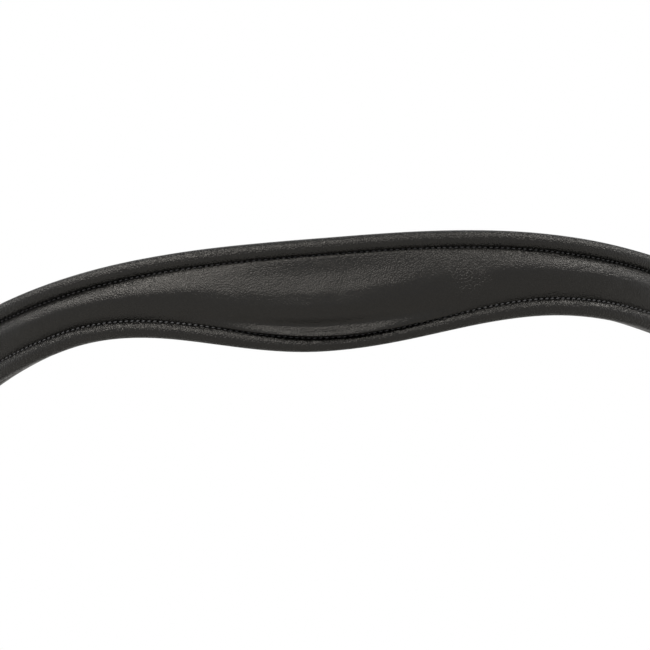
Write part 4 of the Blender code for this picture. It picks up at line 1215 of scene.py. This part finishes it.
@dataclass
class Cheekpiece:
    """One cheekpiece: billet, buckle, long strap and hook-stud bit end."""

    label: str
    side: int
    width: float = 0.016
    y: float = -0.0140
    root: float = 0.040
    length: float = 0.215
    bit_radius: float = 0.0085
    stud_rise: float = 0.040
    stud_head: float = 0.0036

    def build(self) -> None:
        """Makes the side's pieces."""
        outward = Vector((self.side, 0, 0))
        bar = outward * (CROWN_HALF_SPAN - BILLET_OFFSET) + Vector(
            (0, self.y, CROWN_LEVEL - ROOT_DROP - GAP - self.root))
        place = frame_matrix(bar, outward, Vector((0, 0, 1)))
        body = "cheekpiece_" + self.label
        made = BuckledStrap(self.label, body, place, self.width, "cheek")
        path = [(BILLET_OFFSET, self.root - 0.0015 * k) for k in range(25)]
        path.append((BILLET_OFFSET, -TIP_DROP + self.width))
        top = place @ Vector((BILLET_OFFSET, 0, self.root))
        made.billet("cheek_billet_" + self.label, made.world(path),
                    fold=Fold("headpiece", top, top - Vector((0, 0, 0.0075))))
        strap = made.strap("cheek_strap_" + self.label, self.bit_end())
        level = self.stud_rise - self.length
        punch(strap, place, level, HOLE, -BILLET_OFFSET / 2, 0.014)
        smooth(strap)
        made.buckle()
        made.keeper("bit_keeper_" + self.label, body, STRAP_LEATHER / 2, level + 0.013)
        self.stud(place, level)

    def bit_end(self) -> list[Spot]:
        """The long strap below its buckle, turned up at its foot to take the bit."""
        r = self.bit_radius
        bottom = r + STRAP_LEATHER / 2 - self.length
        turns = [math.radians(200 * k / 18) for k in range(19)]
        return [(0, -0.03), (0, bottom + 0.05), (0, bottom + 0.012),
                *((r * math.cos(t) - r, bottom - r * math.sin(t)) for t in turns),
                (-BILLET_OFFSET - r * 0.35, bottom + 0.016),
                (-BILLET_OFFSET - r * 0.12, bottom + 0.0192),
                (-BILLET_OFFSET, bottom + 0.023), (-BILLET_OFFSET, bottom + 0.062)]

    def stud(self, place: Matrix, level: float) -> None:
        """The turned stud through the bit end, domed outside and hooked inside."""
        head, neck, axis = self.stud_head, 0.0014, 0.00002
        outer = STRAP_LEATHER / 2 + GAP
        inner = -BILLET_OFFSET - outer
        dome = [(head * math.sin(turn), outer + 0.00144 * math.cos(turn))
                for turn in (math.pi / 16 * k for k in range(1, 9))]
        profile = [(axis, outer + 0.00144), *dome, (neck, outer), (neck, inner - 0.00064),
                   (head * 0.93, inner - 0.0013), (head, inner - 0.0018),
                   (head * 0.94, inner - 0.0025), (head * 0.6, inner - 0.0032),
                   (axis, inner - 0.0032)]
        name = "hook_stud_" + self.label
        piece = tube(name, [[place @ Vector((x, r * c, level + r * s))
                             for c, s in circle(32)] for r, x in profile], 35)
        dress(piece, "cheekpiece_" + self.label, STEEL, Slot.STEEL, name)


@dataclass
class Hangers:
    """The strap that carries the noseband: plain on the right, buckled on the left."""

    width: float = 0.012
    y: float = 0.0040
    bar_drop: float = 0.315

    def path(self) -> list[Spot]:
        """Middle of the right hanger in (X, Z), from the crown to its loop's inner end."""
        x_top = CROWN_HALF_SPAN - CROWN_LEATHER / 2 - GAP - STRAP_LEATHER / 2
        leg = BAND_LEATHER / 2 + GAP * 1.5 + STRAP_LEATHER / 2
        low = NOSE_LEVEL - 0.014 - 0.0018
        turns = [math.pi * k / 14 for k in range(1, 15)]
        return [(x_top, CROWN_LEVEL - 0.1335), (x_top, CROWN_LEVEL - 0.276),
                (NOSE_HALF_SPAN + leg, NOSE_LEVEL + 0.024), (NOSE_HALF_SPAN + leg, low),
                *((NOSE_HALF_SPAN + leg * math.cos(t), low - leg * math.sin(t))
                  for t in turns), (NOSE_HALF_SPAN - leg, NOSE_LEVEL + 0.010)]

    def soften(self, path: list[Spot]) -> list[Spot]:
        """Rounds the hanger's two long bends."""
        found = [path[0]]
        for k in (1, 2):
            here = Vector(path[k])
            back = (Vector(path[k - 1]) - here).normalized()
            ahead = (Vector(path[k + 1]) - here).normalized()
            found += [tuple(here + back * 0.004 * (1 - s) ** 2 + ahead * 0.004 * s ** 2)
                      for s in (j / 6 for j in range(7))]
        return found + path[3:]

    def build(self) -> None:
        """Makes both hangers."""
        path = self.path()
        half = self.width / 2
        rows = [(Vector((x, self.y - half, z)), Vector((x, self.y + half, z)))
                for x, z in self.soften(path)]
        strap = strap_piece("hanger_strap_right", rows)
        dress(strap, "headpiece", BRIDLE_LEATHER, Slot.LEATHER, "hanger_strap_right")
        left = [Vector((-x, self.y, z)) for x, z in path]
        up = (left[1] - left[2]).normalized()
        outward = up.cross(Vector((0, 1, 0))).normalized()
        level = CROWN_LEVEL - self.bar_drop
        on_line = left[2] + up * ((level - left[2].z) / up.z)
        place = frame_matrix(on_line - outward * BILLET_OFFSET, outward, up)
        made = BuckledStrap("left", "headpiece", place, self.width, "hanger")
        local = [(p.x, p.z) for p in (place.inverted() @ p for p in left)]
        made.strap("hanger_strap_left",
                   [(0, SLIDING_KEEPER), (0, -TIP_DROP - 0.006)] + local[2:])
        made.billet("hanger_billet_left", made.world(
            local[:2] + [(BILLET_OFFSET, RAIL), (BILLET_OFFSET, -TIP_DROP + self.width)]))
        made.buckle()


@dataclass
class Throatlatch:
    """The loop under the throat, buckled on the left."""

    width: float = 0.013
    y: float = 0.0205
    rise: float = 0.034

    def build(self) -> None:
        """Makes the billet, the strap and the buckle."""
        root = CROWN_LEVEL - ROOT_DROP - GAP - self.width / 2
        span = CROWN_HALF_SPAN - BILLET_OFFSET
        place = frame_matrix(Vector((-span, self.y, root - self.rise)), Vector((-1, 0, 0)),
                             Vector((0, 0, 1)))
        made = BuckledStrap("left", "throatlatch", place, self.width, "throatlatch")
        path = [(BILLET_OFFSET, 0.030 - 0.004 * k) for k in range(8)]
        path.append((BILLET_OFFSET, -TIP_DROP + self.width))
        made.billet("throatlatch_billet_left",
                    made.round_end(BILLET_OFFSET, self.rise, 1) + made.world(path))
        half = span + BILLET_OFFSET / 2
        below = [(0, SLIDING_KEEPER)]
        for k in range(73):
            sine, cosine = math.sin(math.pi * k / 72), math.cos(math.pi * k / 72)
            x = half * math.copysign(abs(cosine) ** 0.8, cosine) - BILLET_OFFSET / 2
            below.append((x - span, -TIP_DROP - 0.066 * max(0.0, sine) ** 0.8))
        far = -span - CROWN_HALF_SPAN
        below.append((far, self.rise - 0.012))
        made.strap("throatlatch_strap", below, made.round_end(far, self.rise, 1)[::-1])
        made.buckle()


@dataclass
class ChinStrap:
    """The strap under the chin, its buckle on the left and its cushion."""

    width: float = 0.020
    corner_x: float = 0.034
    back_y: float = 0.105
    corner: float = 0.014
    bar_run: float = 0.050
    tip_drop: float = 0.040
    pad_size: tuple[float, float] = (0.048, 0.032)

    def build(self) -> None:
        """Makes the short and the long chin strap, the buckle and the cushion."""
        start = Vector((EYE_RADIUS - NOSE_HALF_SPAN, REAR_BAR, NOSE_LEVEL))
        up = (Vector((-self.corner_x, self.back_y, NOSE_LEVEL)) - start).normalized()
        outward = Vector((-up.y, up.x, 0))
        dee_eye = start + outward * EYE_RADIUS
        place = frame_matrix(dee_eye + up * self.bar_run, outward, up)
        made = BuckledStrap("left", "noseband", place, self.width, "chin")
        tail = [(-BILLET_OFFSET - STRAP_LEATHER * 0.55, EYE_RADIUS * 1.9),
                (-BILLET_OFFSET, EYE_RADIUS * 2.7), (-BILLET_OFFSET, 0.0145)]
        made.strap("chin_strap_left", [(x - EYE_RADIUS, -self.bar_run - z)
                                       for x, z in EYE_ARC]
                   + [(x, z - self.bar_run) for x, z in tail])
        made.buckle()
        back = self.back_y + 0.006
        plan = self.plan(place @ Vector((BILLET_OFFSET, 0, RAIL)), start, up, back)
        local = [(p.x, p.z) for p in (place.inverted() @ p for p in reversed(plan))]
        local.append((BILLET_OFFSET, -self.tip_drop + self.width * 0.8))
        made.billet("chin_strap", made.world(local), (-3, -2, 1, 2), self.tip_drop)
        self.cushion(back - STRAP_LEATHER / 2 - GAP)

    def plan(self, first: Vector, start: Vector, up: Vector, back: float) -> list[Vector]:
        """Plan points of the long strap, from the buckle round to the right dee's eye.

        Args:
            first: where it leaves the buckle.
            start: the middle of the left dee's rear bar.
            up: along the short strap, away from that dee.
            back: how far back it runs under the chin.

        Returns:
            The points.
        """
        arc = self.corner_arc(first, up, back)
        out_right, flip = Vector((up.y, up.x, 0)), Vector((-up.x, up.y, 0))
        centre = Vector((-start.x, start.y, start.z))
        eye = [(x, -y) for x, y in EYE_ARC]
        near = EYE_RADIUS - BILLET_OFFSET
        tail = [(near - STRAP_LEATHER * 0.55, EYE_RADIUS * 1.9), (near, EYE_RADIUS * 2.7),
                (near, 0.0185)]
        return [first, *arc, *(Vector((-p.x, p.y, p.z)) for p in arc[::-1]),
                *(centre + out_right * x + flip * y
                  for x, y in [(EYE_RADIUS, 0.02), *eye, *tail])]

    def corner_arc(self, first: Vector, up: Vector, back: float) -> list[Vector]:
        """Plan points that turn from the slanted run onto the run under the chin."""
        slope = math.atan2(up.y, up.x)
        normal = Vector((up.y, -up.x, 0))
        along = (back - self.corner - first.y - normal.y * self.corner) / up.y
        centre = first + up * along + normal * self.corner
        turns = [slope + math.pi / 2 - slope * k / 12 for k in range(13)]
        return [centre + Vector((math.cos(t), math.sin(t), 0)) * self.corner
                for t in turns]

    def cushion(self, front: float) -> None:
        """The chin cushion: nappa over foam, crowned towards the jaw, sewn at its rim."""
        long, high = self.pad_size
        face = primitive(bpy.ops.mesh.primitive_grid_add, x_subdivisions=36,
                         y_subdivisions=24, size=1)
        face.name = "chin_pad"
        for v in face.data.vertices:
            a, b = v.co.x * 2, v.co.y * 2
            squeeze = 1 - 0.10 * abs(a) ** 3 * abs(b) ** 3
            full = max(0.0, (1 - abs(a) ** 2.8) * (1 - abs(b) ** 2.8)) ** 0.5
            tuck = 0.0006 * bell(abs(a) - 0.80, 0.10) + 0.0006 * bell(abs(b) - 0.72, 0.12)
            depth = 0.0022 + 0.0058 * full - tuck * (full > 0)
            v.co = Vector((a * long / 2 * squeeze, front - depth,
                           NOSE_LEVEL + b * high / 2 * squeeze))
        edit(face, select_rims, lambda: bpy.ops.mesh.extrude_region_move(
            TRANSFORM_OT_translate={"value": (0, 0.0021, 0)}),
            bpy.ops.mesh.edge_face_add, face_outward)
        round_edges(face, 0.0007)
        smooth(face, 50)
        dress(face, "noseband", SOFT_LINING, Slot.NAPPA, "chin_pad")


@dataclass(frozen=True)
class Softbox:
    """A rectangular lamp: turn from the front and rise in degrees, size in metres."""

    name: str
    turn: float
    rise: float
    wide: float
    tall: float
    brightness: float

    def hang(self, aim: Vector, distance: float) -> None:
        """Hangs the lamp so that it faces a point."""
        side, up = math.radians(self.turn), math.radians(self.rise)
        ray = Vector((math.sin(side) * math.cos(up), -math.cos(side) * math.cos(up),
                      math.sin(up)))
        bpy.ops.object.light_add(type="AREA", location=aim + ray * distance)
        lamp = bpy.context.object
        lamp.name = self.name + "_lamp"
        lamp.data.shape = "RECTANGLE"
        lamp.data.size, lamp.data.size_y = self.wide, self.tall
        lamp.data.energy = self.brightness * math.pi * self.wide * self.tall
        lamp.data.color = (1.0, 0.975, 0.94)
        lamp.rotation_euler = (-ray).to_track_quat("-Z", "Y").to_euler()


SOFTBOXES = (Softbox("left_front", -26, 34, 0.32, 0.26, 31.0),
             Softbox("left", -58, 54, 0.55, 0.42, 19.0),
             Softbox("left_side", -104, 46, 0.50, 0.36, 12.0),
             Softbox("top", 2, 50, 0.60, 0.30, 14.0),
             Softbox("right", 62, 50, 0.50, 0.36, 15.0),
             Softbox("right_side", 104, 42, 0.50, 0.40, 14.0))


@dataclass
class Studio:
    """Pale floor, white surroundings, soft lamps and the camera."""

    view_width: float = 0.195
    distance: float = 8.0
    lamp_distance: float = 1.9
    aim: tuple[float, float, float] = (0.0, -0.08, -0.17)
    centre: tuple[float, float, float] = (0.0, -0.100, -0.1639)
    roll: float = 0.08
    sensor: float = 36

    def build(self) -> None:
        """Makes the floor, the surroundings, the lamps and the camera."""
        self.floor()
        self.world()
        for lamp in SOFTBOXES:
            lamp.hang(Vector(self.aim), self.lamp_distance)
        self.camera()

    def floor(self) -> None:
        """A pale round floor under the bridle, which fades into the white around it."""
        floor = primitive(bpy.ops.mesh.primitive_circle_add, vertices=96, radius=1.6,
                          fill_type="NGON", location=(0, 0, CAD_BOUNDS[0][2] - 0.0006))
        floor.name = "studio_floor"
        material = bpy.data.materials.new("pale_matt_floor")
        material.use_nodes = True
        graph = Graph(material.node_tree)
        pale = graph.surface({"Base Color": linear("efefed"), "Roughness": 0.85})
        away = graph.add("VectorMath", {0: graph.add("TexCoord", {}, "Object")}, "Value",
                         operation="LENGTH")
        fade = graph.add("MapRange", {"Value": away, "From Min": 0.45, "From Max": 1.5},
                         interpolation_type="SMOOTHSTEP")
        mix = graph.add("MixShader", {0: fade, 1: pale,
                                      2: graph.add("BsdfTransparent", {})})
        graph.feed(graph.tree.nodes["Material Output"], {"Surface": mix})
        floor.data.materials.append(material)

    def world(self) -> None:
        """White where the camera or a reflection looks past everything."""
        world = bpy.data.worlds.new("studio_world")
        world.use_nodes = True
        bpy.context.scene.world = world
        graph = Graph(world.node_tree)
        dim = graph.tree.nodes["Background"]
        graph.feed(dim, {"Color": linear("f4f4f4"), "Strength": 0.20})
        white = graph.add("Background", {"Color": (1, 1, 1, 1), "Strength": 1.0})
        shown = graph.add("LightPath", {}, "Is Camera Ray")
        for ray in ("Is Glossy Ray", "Is Transmission Ray"):
            shown = graph.add("Math", {0: shown, 1: graph.add("LightPath", {}, ray)},
                              operation="MAXIMUM")
        mix = graph.add("MixShader", {0: shown, 1: dim.outputs[0], 2: white})
        graph.feed(graph.tree.nodes["World Output"], {"Surface": mix})

    def camera(self) -> None:
        """A long lens straight in front, rolled as the photograph is."""
        data = bpy.data.cameras.new("photo_camera")
        data.sensor_width = self.sensor
        data.lens = self.sensor * self.distance / self.view_width
        data.clip_end = 500
        camera = bpy.data.objects.new("photo_camera", data)
        bpy.context.scene.collection.objects.link(camera)
        x, y, z = self.centre
        camera.location = (x, y - self.distance, z)
        camera.rotation_euler = (Matrix.Rotation(math.pi / 2, 4, "X")
                                 @ Matrix.Rotation(-self.roll, 4, "Z")).to_euler()
        bpy.context.scene.camera = camera
        bpy.context.scene.view_settings.view_transform = "Standard"


def main() -> None:
    """Builds the bridle's sub-assemblies in order, then the studio."""
    Browband().build()
    Crown().build()
    for label, side in SIDES:
        Cheekpiece(label, side).build()
    Hangers().build()
    Throatlatch().build()
    Noseband().build()
    ChinStrap().build()
    Studio().build()


if __name__ == "__main__":
    main()
